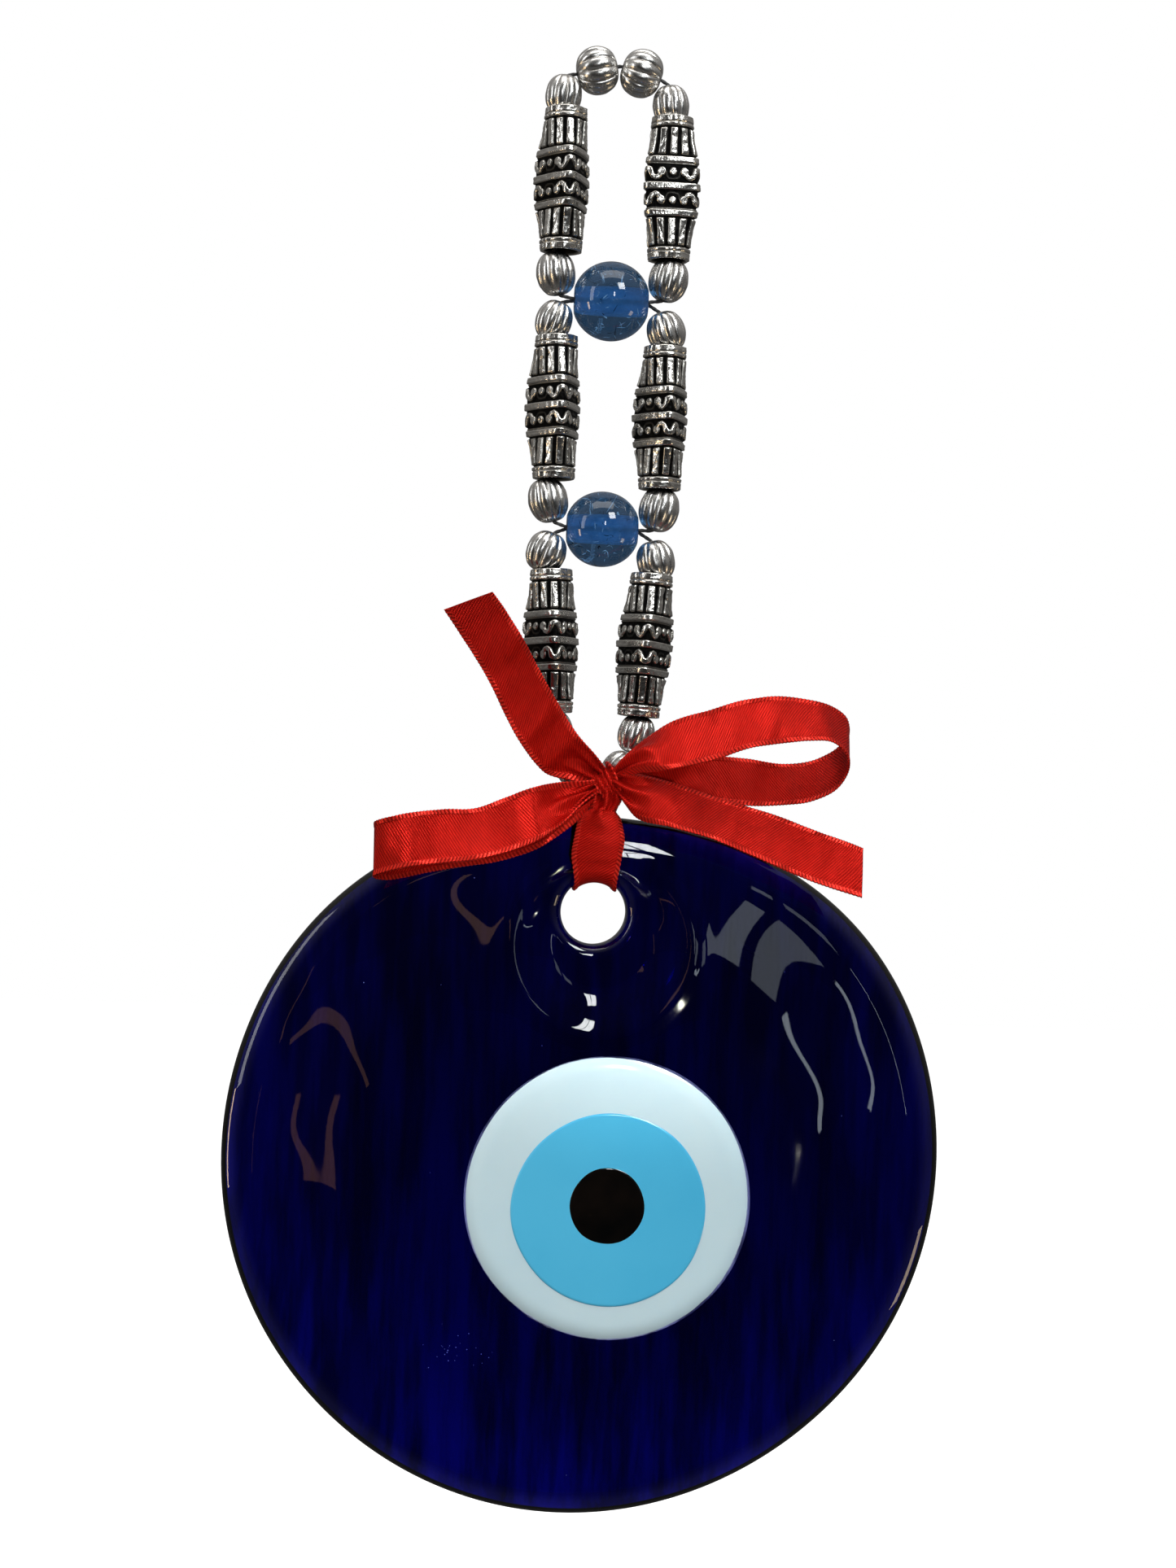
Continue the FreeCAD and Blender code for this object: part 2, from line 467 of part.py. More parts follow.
def main():
    os.makedirs("parts", exist_ok=True)
    nodes = {}

    for name, kind, c, d, r, half in BEADS:
        if kind == "round":
            s = barrel(r, half, MELON_POLE_R, MELON_BORE_R)
        elif kind == "tube":
            s = tube_bead(TUBE_FACE_ANGLE[name])
        else:
            s = barrel(r, half, CROSS_POLE_R, CROSS_BORE_R)
        nodes[name] = oriented(s, c, d)

    # The thread, link by link. Each link's two ends lie side by side inside a blue bead.
    def in_cross(name, side, y):
        kind, c, d, r, half = BEAD[name]
        inner = vec(c[0] + side * 0.12, y, c[1])
        outer = vec(c[0] + side * (half - 0.25), y, c[1])
        return inner, outer

    ui_r, uo_r = in_cross("cross_bead_upper", 1, -THREAD_APART)
    ui_l, uo_l = in_cross("cross_bead_upper", -1, -THREAD_APART)
    top = [ui_l, uo_l] + strand(["bead_upper_left_2", "tube_upper_left", "bead_upper_left_1", "bead_apex_left"], down=False, first_y=-BORE_OFF)
    top += [vec(0, 0, 0)]
    top += strand(["bead_apex_right", "bead_upper_right_1", "tube_upper_right", "bead_upper_right_2"], last_y=-BORE_OFF) + [uo_r, ui_r]
    nodes["thread_upper_link"] = thread(top)

    mi_r, mo_r = in_cross("cross_bead_upper", 1, THREAD_APART)
    mi_l, mo_l = in_cross("cross_bead_upper", -1, THREAD_APART)
    ni_r, no_r = in_cross("cross_bead_lower", 1, -THREAD_APART)
    ni_l, no_l = in_cross("cross_bead_lower", -1, -THREAD_APART)
    left = [mi_l, mo_l] + strand(["bead_middle_left_1", "tube_middle_left", "bead_middle_left_2"], first_y=BORE_OFF, last_y=-BORE_OFF) + [no_l, ni_l]
    right = [mi_r, mo_r] + strand(["bead_middle_right_1", "tube_middle_right", "bead_middle_right_2"], first_y=BORE_OFF, last_y=-BORE_OFF) + [no_r, ni_r]
    nodes["thread_middle_link_left"] = thread(left)
    nodes["thread_middle_link_right"] = thread(right)

    li_r, lo_r = in_cross("cross_bead_lower", 1, THREAD_APART)
    li_l, lo_l = in_cross("cross_bead_lower", -1, THREAD_APART)
    low = [li_l, lo_l] + strand(["bead_lower_left_1", "tube_lower_left", "bead_lower_left_2", "bead_lower_left_3"], first_y=BORE_OFF)
    low += [vec(THREAD_LOW[0][0], 0, THREAD_LOW[0][1]), vec(THREAD_LOW[1][0], 0, THREAD_LOW[1][1])]
    low += strand(["bead_lower_right_3", "bead_lower_right_2", "tube_lower_right", "bead_lower_right_1"], down=False, last_y=BORE_OFF) + [lo_r, li_r]
    nodes["thread_lower_link"] = thread(low)

    # The knot: a soft lump of folded ribbon drawn tight round the lower end of the thread.
    nodes["ribbon_knot"] = knot_solid()

    for name, stations in (
        ("ribbon_tail_left", RIBBON_TAIL_LEFT),
        ("ribbon_tail_right", RIBBON_TAIL_RIGHT),
        ("ribbon_loop_left", RIBBON_LOOP_LEFT),
        ("ribbon_loop_right", RIBBON_LOOP_RIGHT),
    ):
        nodes[name] = sheet_solid(ribbon_rows(stations), RIBBON_T)
    nodes["ribbon_hole_loop"] = sheet_solid(hole_ring_rows(), RIBBON_T, closed=True)

    # The cast glass disc: a puddle of cobalt glass with rolled edges, a dished boss and a punched hole.
    disc = Part.makeLoft([outline_wire(inset, y) for y, inset in DISC_SECTIONS], True, False)
    dish_r = (DISH_R ** 2 + DISH_DEPTH ** 2) / (2 * DISH_DEPTH)
    disc = disc.cut(Part.makeSphere(dish_r, vec(DISH_C[0], -DISC_T / 2 + DISH_DEPTH - dish_r, DISH_C[1])))
    h = DISC_T / 2
    q = HOLE_R + LIP_R
    k = LIP_R * (1 - math.sqrt(0.5))
    hole = turned_y([
        [(0, -h - 2), (q, -h - 2)],
        [(q, -h - 2), (q, -h)],
        [(q, -h), (HOLE_R + k, -h + k), (HOLE_R, -h + LIP_R)],
        [(HOLE_R, -h + LIP_R), (HOLE_R, h - LIP_R)],
        [(HOLE_R, h - LIP_R), (HOLE_R + k, h - k), (q, h)],
        [(q, h), (q, h + 2)],
        [(q, h + 2), (0, h + 2)],
        [(0, h + 2), (0, -h - 2)],
    ], HOLE_C)
    disc = disc.cut(hole)
    white = lens(WHITE_C, WHITE_R, -h - 1.0, -h - 0.05, -h + 1.4)
    blue = lens(BLUE_C, BLUE_R, -h - 1.12, -h - 0.72, -h + 0.2)
    pupil = lens(PUPIL_C, PUPIL_R, -h - 1.25, -h - 0.98, -h - 0.4)
    disc = disc.cut(white)
    nodes["glass_disc"] = max(disc.Solids, key=lambda q: q.Volume)
    nodes["eye_white"] = max(white.cut(blue).cut(pupil).Solids, key=lambda q: q.Volume)
    nodes["eye_light_blue"] = max(blue.cut(pupil).Solids, key=lambda q: q.Volume)
    nodes["eye_pupil"] = pupil

    for name, shape in nodes.items():
        if shape.ShapeType != "Solid":
            shape = shape.Solids[0] if len(shape.Solids) == 1 else shape
        assert shape.isValid(), name
        assert len(shape.Solids) == 1, (name, len(shape.Solids))
        b = shape.BoundBox
        print("%-26s vol %9.1f  x %7.2f %7.2f  y %6.2f %6.2f  z %8.2f %8.2f" % (name, shape.Volume, b.XMin, b.XMax, b.YMin, b.YMax, b.ZMin, b.ZMax))
        shape.exportStep("parts/" + name + ".step")


main()
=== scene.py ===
import bmesh
import bpy
import math
import numpy as np
from mathutils import Matrix, Vector


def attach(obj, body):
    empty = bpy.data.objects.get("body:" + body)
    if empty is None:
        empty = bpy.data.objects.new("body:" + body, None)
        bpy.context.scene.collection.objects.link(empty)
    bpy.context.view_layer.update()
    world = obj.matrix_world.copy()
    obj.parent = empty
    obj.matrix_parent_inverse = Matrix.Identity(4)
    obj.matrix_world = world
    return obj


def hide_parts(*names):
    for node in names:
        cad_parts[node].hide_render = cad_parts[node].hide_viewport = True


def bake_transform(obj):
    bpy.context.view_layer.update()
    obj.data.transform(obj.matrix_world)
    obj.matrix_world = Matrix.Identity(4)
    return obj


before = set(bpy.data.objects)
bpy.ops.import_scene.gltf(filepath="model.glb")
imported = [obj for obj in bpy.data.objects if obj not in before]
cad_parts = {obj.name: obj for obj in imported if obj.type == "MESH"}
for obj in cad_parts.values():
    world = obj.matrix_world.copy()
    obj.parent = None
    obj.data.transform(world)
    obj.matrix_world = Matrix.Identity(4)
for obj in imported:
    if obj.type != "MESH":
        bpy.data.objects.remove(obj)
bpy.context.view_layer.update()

MM = 0.001
RNG = np.random.RandomState(7)

# ------------------------------------------------------------------ dimensions, mm, in the CAD frame
THREAD_R = 0.35
THREAD_BEND = 0.9
THREAD_APART = 0.6
BORE_OFF = 0.35
RIBBON_W = 10.0
TUBE_HALF = 13.2
TUBE_SWEPT_R = 5.85
DISC_T = 9.0
DISC_C = (-0.04, -204.36)
OUTLINE = [65.936, -0.347, 0.858, 0.89, 0.287, 0.147, 0.623, -0.314, 0.087, -0.082, -0.209, 0.027, -0.02]
HOLE_C = (0.37, -157.35)
HOLE_R = 6.1
LIP_R = 2.2
DISH_C = (1.93, -163.36)
DISH_R = 15.0
DISH_DEPTH = 1.6
KNOT_Y = -2.7
WHITE_C, WHITE_R = (4.38, -209.82), 26.3
BLUE_C, BLUE_R = (4.76, -211.93), 17.85
PUPIL_C, PUPIL_R = (4.43, -211.18), 7.0
TUBE_SECTIONS = [
    (-13.2, 1.2, 3.15, 0.36), (-11.3, 1.4, 3.25, 0.35), (-8.3, 3.6, 2.35, 0.4), (-5.6, 6.4, 1.5, 0.3), (-2.8, 7.8, 1.25, 0.3),
    (0.0, 8.0, 1.2, 0.35),
    (2.8, 7.8, 1.25, 0.3), (5.6, 6.4, 1.5, 0.3), (8.3, 3.6, 2.35, 0.4), (11.3, 1.4, 3.25, 0.35), (13.2, 1.2, 3.15, 0.36)]
TUBE_FACE_ANGLE = {     # degrees the front face of each is turned to the right of straight ahead
    "tube_upper_left": -51, "tube_upper_right": 3, "tube_middle_left": -49,
    "tube_middle_right": -50, "tube_lower_left": -56, "tube_lower_right": -61}
RING_IN_HOLE = [(-5.3, 10.6, 0.0), (-5.07, 8.3, 0.6), (-4.86, 7.25, 0.9), (-4.26, 6.35, 1.0), (-3.36, 5.75, 1.0),
                (-2.3, 5.53, 1.0), (0.0, 5.53, 1.0), (2.3, 5.53, 1.0), (3.36, 5.75, 1.0), (4.26, 6.35, 1.0),
                (4.86, 7.25, 0.9), (5.07, 8.3, 0.6), (5.3, 10.6, 0.0)]
BEADS = [
    ("bead_apex_left", "round", (-4.05, -0.95), (-0.9752, -0.2213), 4.5, 3.8),
    ("bead_apex_right", "round", (4.25, -1.1), (0.9586, -0.2846), 4.5, 3.8),
    ("bead_upper_left_1", "round", (-10.15, -5.85), (-0.1144, -0.9934), 3.4, 3.7),
    ("tube_upper_left", "tube", (-9.59, -21.69), (-0.007, -1.0), TUBE_SWEPT_R, TUBE_HALF),
    ("bead_upper_left_2", "round", (-10.5, -39.05), (0.1497, -0.9887), 3.7, 4.0),
    ("bead_upper_right_1", "round", (9.9, -6.9), (0.1196, -0.9928), 3.4, 3.7),
    ("tube_upper_right", "tube", (10.3, -22.55), (0.003, -1.0), TUBE_SWEPT_R, TUBE_HALF),
    ("bead_upper_right_2", "round", (10.5, -39.4), (-0.201, -0.9796), 3.7, 4.0),
    ("cross_bead_upper", "blue", (-0.06, -43.81), (1.0, -0.0), 7.35, 6.85),
    ("bead_middle_left_1", "round", (-10.6, -47.9), (-0.3248, -0.9458), 3.4, 3.7),
    ("tube_middle_left", "tube", (-9.78, -64.0), (0.0103, -0.9999), TUBE_SWEPT_R, TUBE_HALF),
    ("bead_middle_left_2", "round", (-10.55, -81.25), (0.2556, -0.9668), 3.75, 4.05),
    ("bead_middle_right_1", "round", (10.42, -49.08), (0.3355, -0.9421), 3.6, 3.75),
    ("tube_middle_right", "tube", (10.27, -65.23), (-0.0097, -1.0), TUBE_SWEPT_R, TUBE_HALF),
    ("bead_middle_right_2", "round", (10.15, -82.2), (-0.2102, -0.9777), 3.75, 4.05),
    ("cross_bead_lower", "blue", (-0.32, -86.27), (1.0, -0.0), 7.0, 6.6),
    ("bead_lower_left_1", "round", (-10.6, -90.9), (-0.3477, -0.9376), 3.7, 3.8),
    ("tube_lower_left", "tube", (-9.02, -107.4), (0.0332, -0.9995), TUBE_SWEPT_R, TUBE_HALF),
    ("bead_lower_left_2", "round", (-8.16, -124.05), (0.2844, -0.9587), 3.7, 3.8),
    ("bead_lower_left_3", "round", (-3.61, -131.03), (0.6502, -0.7597), 3.7, 3.8),
    ("bead_lower_right_1", "round", (9.87, -91.8), (0.2447, -0.9696), 3.6, 3.75),
    ("tube_lower_right", "tube", (8.42, -107.58), (-0.0647, -0.9979), TUBE_SWEPT_R, TUBE_HALF),
    ("bead_lower_right_2", "round", (7.27, -124.16), (-0.2846, -0.9586), 3.45, 3.6),
    ("bead_lower_right_3", "round", (4.65, -131.13), (-0.5169, -0.8561), 3.7, 3.6),
]
RIBBON_TAIL_LEFT = [
    (1.61, -130.93, -1.03, -133.44, -4.9, 0.0),
    (-0.9, -128.28, -5.14, -132.82, -6.4, 0.5),
    (-4.04, -124.9, -9.57, -131.91, -7.0, 1),
    (-7.24, -120.0, -13.81, -127.5, -7.4, 1),
    (-10.11, -115.55, -16.86, -122.44, -7.7, 1),
    (-13.97, -108.86, -21.39, -113.95, -7.9, 1),
    (-17.81, -102.92, -25.69, -107.58, -8.0, 1),
    (-20.5, -99.37, -29.19, -102.69, -8.0, 1),
]
RIBBON_TAIL_RIGHT = [
    (3.91, -131.46, 3.71, -134.8, -5.0, 0.0),
    (7.86, -131.78, 7.32, -139.6, -8.0, -0.4),
    (15.04, -133.36, 13.73, -141.2, -9.7, -1),
    (21.93, -135.41, 19.86, -142.7, -9.2, -1),
    (27.58, -136.89, 24.94, -144.5, -9.5, -1),
    (33.4, -138.51, 30.33, -146.65, -9.6, -1),
    (39.69, -140.73, 36.63, -149.17, -9.6, -1),
    (45.36, -142.51, 42.92, -151.24, -9.4, -1),
    (49.34, -143.9, 48.73, -152.86, -9.2, -1),
]
RIBBON_LOOP_LEFT = [
    (0.77, -132.77, 0.23, -134.76, -5.0, 0),
    (-2.4, -133.18, -2.72, -137.44, -7.2, -0.3),
    (-7.39, -133.65, -6.24, -140.89, -8.6, -0.6),
    (-11.9, -134.71, -10.38, -144.06, -9.8, -1),
    (-16.84, -136.69, -15.16, -146.19, -10.8, -1),
    (-22.23, -138.84, -21.92, -148.08, -11.6, -1),
    (-27.98, -139.19, -27.65, -148.88, -12.2, -1),
    (-33.71, -139.98, -33.69, -149.68, -12.4, -1),
    (-37.77, -140.88, -37.75, -150.73, -12.0, -1),
    (-39.87, -141.55, -39.7, -151.4, -10.8, -1),
    (-40.46, -142.03, -40.29, -151.87, -9.2, -1),
    (-39.69, -142.45, -39.52, -152.3, -7.8, -1),
    (-37.12, -142.37, -36.94, -152.37, -6.9, -1),
    (-31.7, -141.13, -31.52, -151.13, -6.5, -1),
    (-25.37, -140.01, -24.9, -149.7, -6.4, -1),
    (-18.14, -138.56, -16.91, -148.22, -6.4, -1),
    (-11.83, -136.83, -9.73, -145.25, -6.3, -1),
    (-6.14, -134.82, -4.12, -140.82, -5.9, -0.5),
    (-1.03, -133.44, -0.31, -136.75, -4.3, 0),
]
RIBBON_LOOP_RIGHT = [
    (3.86, -130.4, 3.78, -132.37, -5.0, 0),
    (5.77, -128.36, 7.23, -131.04, -7.0, -0.4),
    (9.0, -124.92, 11.61, -130.75, -8.2, -0.8),
    (13.74, -121.58, 15.38, -130.02, -9.4, -1),
    (19.88, -119.56, 21.24, -128.46, -10.4, -1),
    (25.88, -117.54, 26.93, -126.3, -11.2, -1),
    (32.06, -116.58, 32.35, -125.28, -11.8, -1),
    (37.99, -116.99, 37.79, -124.57, -11.8, -1),
    (42.57, -117.9, 41.73, -124.59, -11.0, -1),
    (45.35, -119.47, 44.36, -126.17, -9.2, -1),
    (46.48, -121.56, 45.64, -128.25, -6.8, -1),
    (46.4, -123.68, 45.72, -130.68, -4.4, -1),
    (44.21, -126.18, 43.84, -133.47, -2.6, -1),
    (40.03, -128.14, 39.52, -135.58, -1.8, -1),
    (34.89, -128.76, 34.84, -136.34, -1.6, -1),
    (28.5, -128.06, 28.34, -136.71, -1.9, -1),
    (22.13, -127.82, 21.49, -136.03, -1.4, -1),
    (16.09, -128.63, 15.39, -134.87, -1.6, -0.7),
    (10.39, -130.33, 9.91, -134.29, -3.4, -0.2),
    (5.0, -131.39, 4.7, -133.98, -4.6, 0),
]
HOLE_LEG = [
    (0.63, -137.78, 2.75, -137.86, -3.0),
    (-1.17, -138.45, 3.69, -138.59, -4.5),
    (-3.09, -140.03, 4.57, -140.08, -5.25),
    (-3.88, -143.54, 5.37, -143.54, -5.6),
    (-3.84, -146.87, 5.62, -146.71, -5.6),
]
THREAD_LOW = ((-0.53, -134.94), (2.05, -134.85))
KNOT = (2.02, -133.95)

TWO_PI = 2 * math.pi


def V(*p):
    return np.array(p, dtype=float)


# ------------------------------------------------------------------ mesh helpers

def grid_faces(n, m, wrap_n=False, wrap_m=False, flip=False, base=0):
    i = np.arange(n if wrap_n else n - 1)
    j = np.arange(m if wrap_m else m - 1)
    a, b = np.meshgrid(i, j, indexing="ij")
    a2, b2 = (a + 1) % n, (b + 1) % m
    f = np.stack([a * m + b, a2 * m + b, a2 * m + b2, a * m + b2], -1).reshape(-1, 4) + base
    return f[:, ::-1] if flip else f


def make(name, verts, faces, mats, body, replaces=(), attrs=None, uv=None, mat_index=None, smooth=True):
    """A mesh object in metres from millimetre points, riding on a body and standing for CAD nodes."""
    me = bpy.data.meshes.new(name)
    v = np.asarray(verts, dtype=float) * MM
    f = faces if isinstance(faces, list) else faces.tolist()
    me.from_pydata(v.tolist(), [], f)
    for key, val in (attrs or {}).items():
        a = me.attributes.new(key, "FLOAT", "POINT")
        a.data.foreach_set("value", np.asarray(val, dtype=np.float32).ravel())
    if uv is not None:
        lay = me.uv_layers.new(name="UVMap")
        vi = np.zeros(len(me.loops), dtype=np.int32)
        me.loops.foreach_get("vertex_index", vi)
        lay.data.foreach_set("uv", np.asarray(uv, dtype=np.float32)[vi].ravel())
    for m in mats:
        me.materials.append(m)
    if mat_index is not None:
        me.polygons.foreach_set("material_index", np.asarray(mat_index, dtype=np.int32))
    me.polygons.foreach_set("use_smooth", np.full(len(me.polygons), smooth))
    me.update()
    if name.startswith(("ribbon_", "eye_", "disc_seeds")):
        # every face outward, end walls and edges included
        bm = bmesh.new()
        bm.from_mesh(me)
        bmesh.ops.recalc_face_normals(bm, faces=bm.faces)
        bm.to_mesh(me)
        bm.free()
        me.update()
    ob = bpy.data.objects.new(name, me)
    bpy.context.scene.collection.objects.link(ob)
    if replaces:
        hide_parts(*replaces)
    if body:
        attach(ob, body)
    return ob


def smooth01(x):
    x = np.clip(x, 0, 1)
    return x * x * (3 - 2 * x)


def wave_noise(x, y, z, scale, seed, n=10):
    """A smooth wandering value, about -1 to 1, from a few crossed sine waves."""
    r = np.random.RandomState(seed)
    out = 0
    for k in range(n):
        d = r.normal(size=3)
        d /= np.linalg.norm(d)
        f = TWO_PI / scale * (0.6 + 1.2 * r.rand())
        out = out + np.sin(f * (d[0] * x + d[1] * y + d[2] * z) + r.rand() * TWO_PI)
    return out / math.sqrt(n / 2) / 1.6


def place(points, centre, direction, turn=0.0):
    """Points built along +Z, turned about Z, laid along the direction (upwards) and moved to the centre in the XZ plane."""
    dx, dz = direction
    if dz < 0 and abs(dz) > abs(dx):
        dx, dz = -dx, -dz
    n = math.hypot(dx, dz)
    dx, dz = dx / n, dz / n
    c, s = math.cos(turn), math.sin(turn)
    p = np.stack([points[:, 0] * c - points[:, 1] * s, points[:, 0] * s + points[:, 1] * c, points[:, 2]], -1)
    # the frame's axes: Z' along the bore, Y' stays Y, X' completes the turn about Y
    x = p[:, 0] * dz + p[:, 2] * dx
    z = -p[:, 0] * dx + p[:, 2] * dz
    return np.stack([x + centre[0], p[:, 1], z + centre[1]], -1)


# ------------------------------------------------------------------ materials

class Mat:
    def __init__(self, name):
        self.m = bpy.data.materials.new(name)
        self.m.use_nodes = True
        self.t = self.m.node_tree
        self.t.nodes.clear()
        self.out = self.t.nodes.new("ShaderNodeOutputMaterial")
        self.p = self.t.nodes.new("ShaderNodeBsdfPrincipled")
        self.t.links.new(self.p.outputs[0], self.out.inputs["Surface"])

    def set(self, **kw):
        for k, v in kw.items():
            self.p.inputs[k.replace("_", " ")].default_value = v
        return self

    def node(self, kind, **kw):
        n = self.t.nodes.new("ShaderNode" + kind)
        for k, v in kw.items():
            if hasattr(n, k):
                setattr(n, k, v)
            else:
                n.inputs[k.replace("_", " ")].default_value = v
        return n

    def link(self, a, b):
        self.t.links.new(a, b)

    def math(self, op, a, b=None, clamp=False):
        n = self.t.nodes.new("ShaderNodeMath")
        n.operation = op
        n.use_clamp = clamp
        for i, x in enumerate([a, b]):
            if x is None:
                continue
            if isinstance(x, (int, float)):
                n.inputs[i].default_value = x
            else:
                self.link(x, n.inputs[i])
        return n.outputs[0]

    def ramp(self, fac, stops):
        n = self.t.nodes.new("ShaderNodeValToRGB")
        e = n.color_ramp.elements
        while len(e) < len(stops):
            e.new(0.5)
        for el, (pos, col) in zip(e, stops):
            el.position = pos
            el.color = (*col, 1) if len(col) == 3 else col
        self.link(fac, n.inputs[0])
        return n.outputs[0]

    def mix(self, fac, a, b):
        n = self.t.nodes.new("ShaderNodeMix")
        n.data_type = "RGBA"
        if isinstance(fac, (int, float)):
            n.inputs[0].default_value = fac
        else:
            self.link(fac, n.inputs[0])
        for sock, x in ((6, a), (7, b)):
            if isinstance(x, tuple):
                n.inputs[sock].default_value = (*x, 1)
            else:
                self.link(x, n.inputs[sock])
        return n.outputs[2]

    def coords(self, kind="Object", scale=(1, 1, 1)):
        tc = self.t.nodes.new("ShaderNodeTexCoord")
        mp = self.t.nodes.new("ShaderNodeMapping")
        mp.inputs["Scale"].default_value = scale
        self.link(tc.outputs[kind], mp.inputs["Vector"])
        return mp.outputs[0]

    def noise(self, vec, scale, detail=3.0, rough=0.5):
        n = self.t.nodes.new("ShaderNodeTexNoise")
        n.inputs["Scale"].default_value = scale
        n.inputs["Detail"].default_value = detail
        n.inputs["Roughness"].default_value = rough
        self.link(vec, n.inputs["Vector"])
        return n.outputs["Fac"]

    def bump(self, height, strength, distance, after=None):
        n = self.t.nodes.new("ShaderNodeBump")
        n.inputs["Strength"].default_value = strength
        n.inputs["Distance"].default_value = distance
        self.link(height, n.inputs["Height"])
        if after is not None:
            self.link(after, n.inputs["Normal"])
        return n.outputs[0]


def silver(name, bright, dark, warm, r_lo, r_hi, spread):
    """Cast white metal: lighter on the high parts, darker in the recesses, following the relief attribute."""
    m = Mat(name)
    at = m.node("Attribute", attribute_name="relief")
    co = m.coords("Object")
    blotch = m.noise(co, 700, 4, 0.6)
    fine = m.noise(co, 3200, 3, 0.6)
    relief_tone = m.math("ADD", at.outputs["Fac"], m.math("MULTIPLY", m.math("SUBTRACT", blotch, 0.5), spread))
    relief_tone = m.math("ADD", relief_tone, m.math("MULTIPLY", m.math("SUBTRACT", fine, 0.5), spread * 0.5))
    # the tone runs dark where the relief is low: on the fluted beads this is painted shade in the grooves
    tone = m.ramp(relief_tone, [(0.0, dark), (0.30, tuple(0.55 * d + 0.45 * w * 0.35 for d, w in zip(dark, warm))), (0.55, warm), (0.85, bright)])
    m.link(tone, m.p.inputs["Base Color"])
    rough = m.ramp(relief_tone, [(0.2, (r_hi,) * 3), (0.75, (r_lo,) * 3)])
    rough = m.math("ADD", rough, m.math("MULTIPLY", m.math("SUBTRACT", blotch, 0.5), 0.16))
    m.link(rough, m.p.inputs["Roughness"])
    m.set(Metallic=1.0)
    n1 = m.bump(blotch, 0.35, 0.00008)
    n2 = m.bump(fine, 0.30, 0.00003, n1)
    m.link(n2, m.p.inputs["Normal"])
    return m.m


# fluted beads: their dark grooves are painted shade
MELON_METAL = silver("melon_metal", (0.74, 0.73, 0.71), (0.16, 0.15, 0.14), (0.66, 0.63, 0.59), 0.27, 0.42, 0.20)
TUBE_METAL = silver("tube_metal", (0.70, 0.68, 0.64), (0.005, 0.005, 0.005), (0.42, 0.40, 0.36), 0.24, 0.60, 0.20)


def glass_blue():
    m = Mat("crackle_glass")
    co = m.coords("Object")
    cloud = m.noise(co, 260, 3, 0.55)
    m.link(m.ramp(cloud, [(0.25, (0.010, 0.027, 0.056)), (0.75, (0.022, 0.052, 0.10))]), m.p.inputs["Base Color"])
    m.set(Roughness=0.02, IOR=1.5, Transmission_Weight=1.0)
    vor = m.node("TexVoronoi", feature="DISTANCE_TO_EDGE")
    vor.inputs["Scale"].default_value = 420
    m.link(co, vor.inputs["Vector"])
    crack = m.math("LESS_THAN", vor.outputs["Distance"], 0.018)
    mask = m.math("MULTIPLY", crack, m.math("GREATER_THAN", m.noise(co, 330, 2, 0.5), 0.52))
    m.link(m.bump(mask, 0.35, 0.00010), m.p.inputs["Normal"])
    return m.m


def glass_bore():
    m = Mat("frosted_bore_painted_glow")
    co = m.coords("Object")
    cloud = m.noise(co, 600, 4, 0.6)
    m.link(m.ramp(cloud, [(0.3, (0.14, 0.40, 0.70)), (0.7, (0.45, 0.70, 0.95))]), m.p.inputs["Base Color"])
    # the emission is a painted glow: the frosted bore lights itself and brightens the bead's middle band
    m.set(Roughness=0.6, IOR=1.3, Transmission_Weight=0.45, Emission_Color=(0.20, 0.52, 1.0, 1), Emission_Strength=0.34)
    return m.m


def flake(name, col, rough, painted_glint=0.0):
    m = Mat(name)
    # the emission is a painted glint: the pale slivers light themselves
    if painted_glint:
        m.set(Emission_Color=(*col, 1), Emission_Strength=painted_glint)
    co = m.coords("Object")
    m.link(m.mix(m.noise(co, 900, 2), col, tuple(0.7 * c for c in col)), m.p.inputs["Base Color"])
    m.set(Roughness=rough, Metallic=0.0, IOR=1.5)
    return m.m


BEAD_GLASS, BEAD_BORE_PAINTED_GLOW = glass_blue(), glass_bore()
# the pale crackle glows with a painted glint; the dark crackle is plain
FLAKE_PAINTED_GLINT, FLAKE_DARK = flake("crackle_painted_glint", (0.62, 0.82, 0.95), 0.15, 1.1), flake("crackle_dark", (0.005, 0.02, 0.05), 0.3)


def thread_mat():
    m = Mat("waxed_thread")
    co = m.coords("Object")
    n = m.noise(co, 2600, 3, 0.6)
    m.link(m.ramp(n, [(0.3, (0.012, 0.012, 0.014)), (0.8, (0.055, 0.052, 0.050))]), m.p.inputs["Base Color"])
    m.set(Roughness=0.5)
    m.link(m.bump(n, 0.5, 0.00006), m.p.inputs["Normal"])
    return m.m


THREAD_MAT = thread_mat()


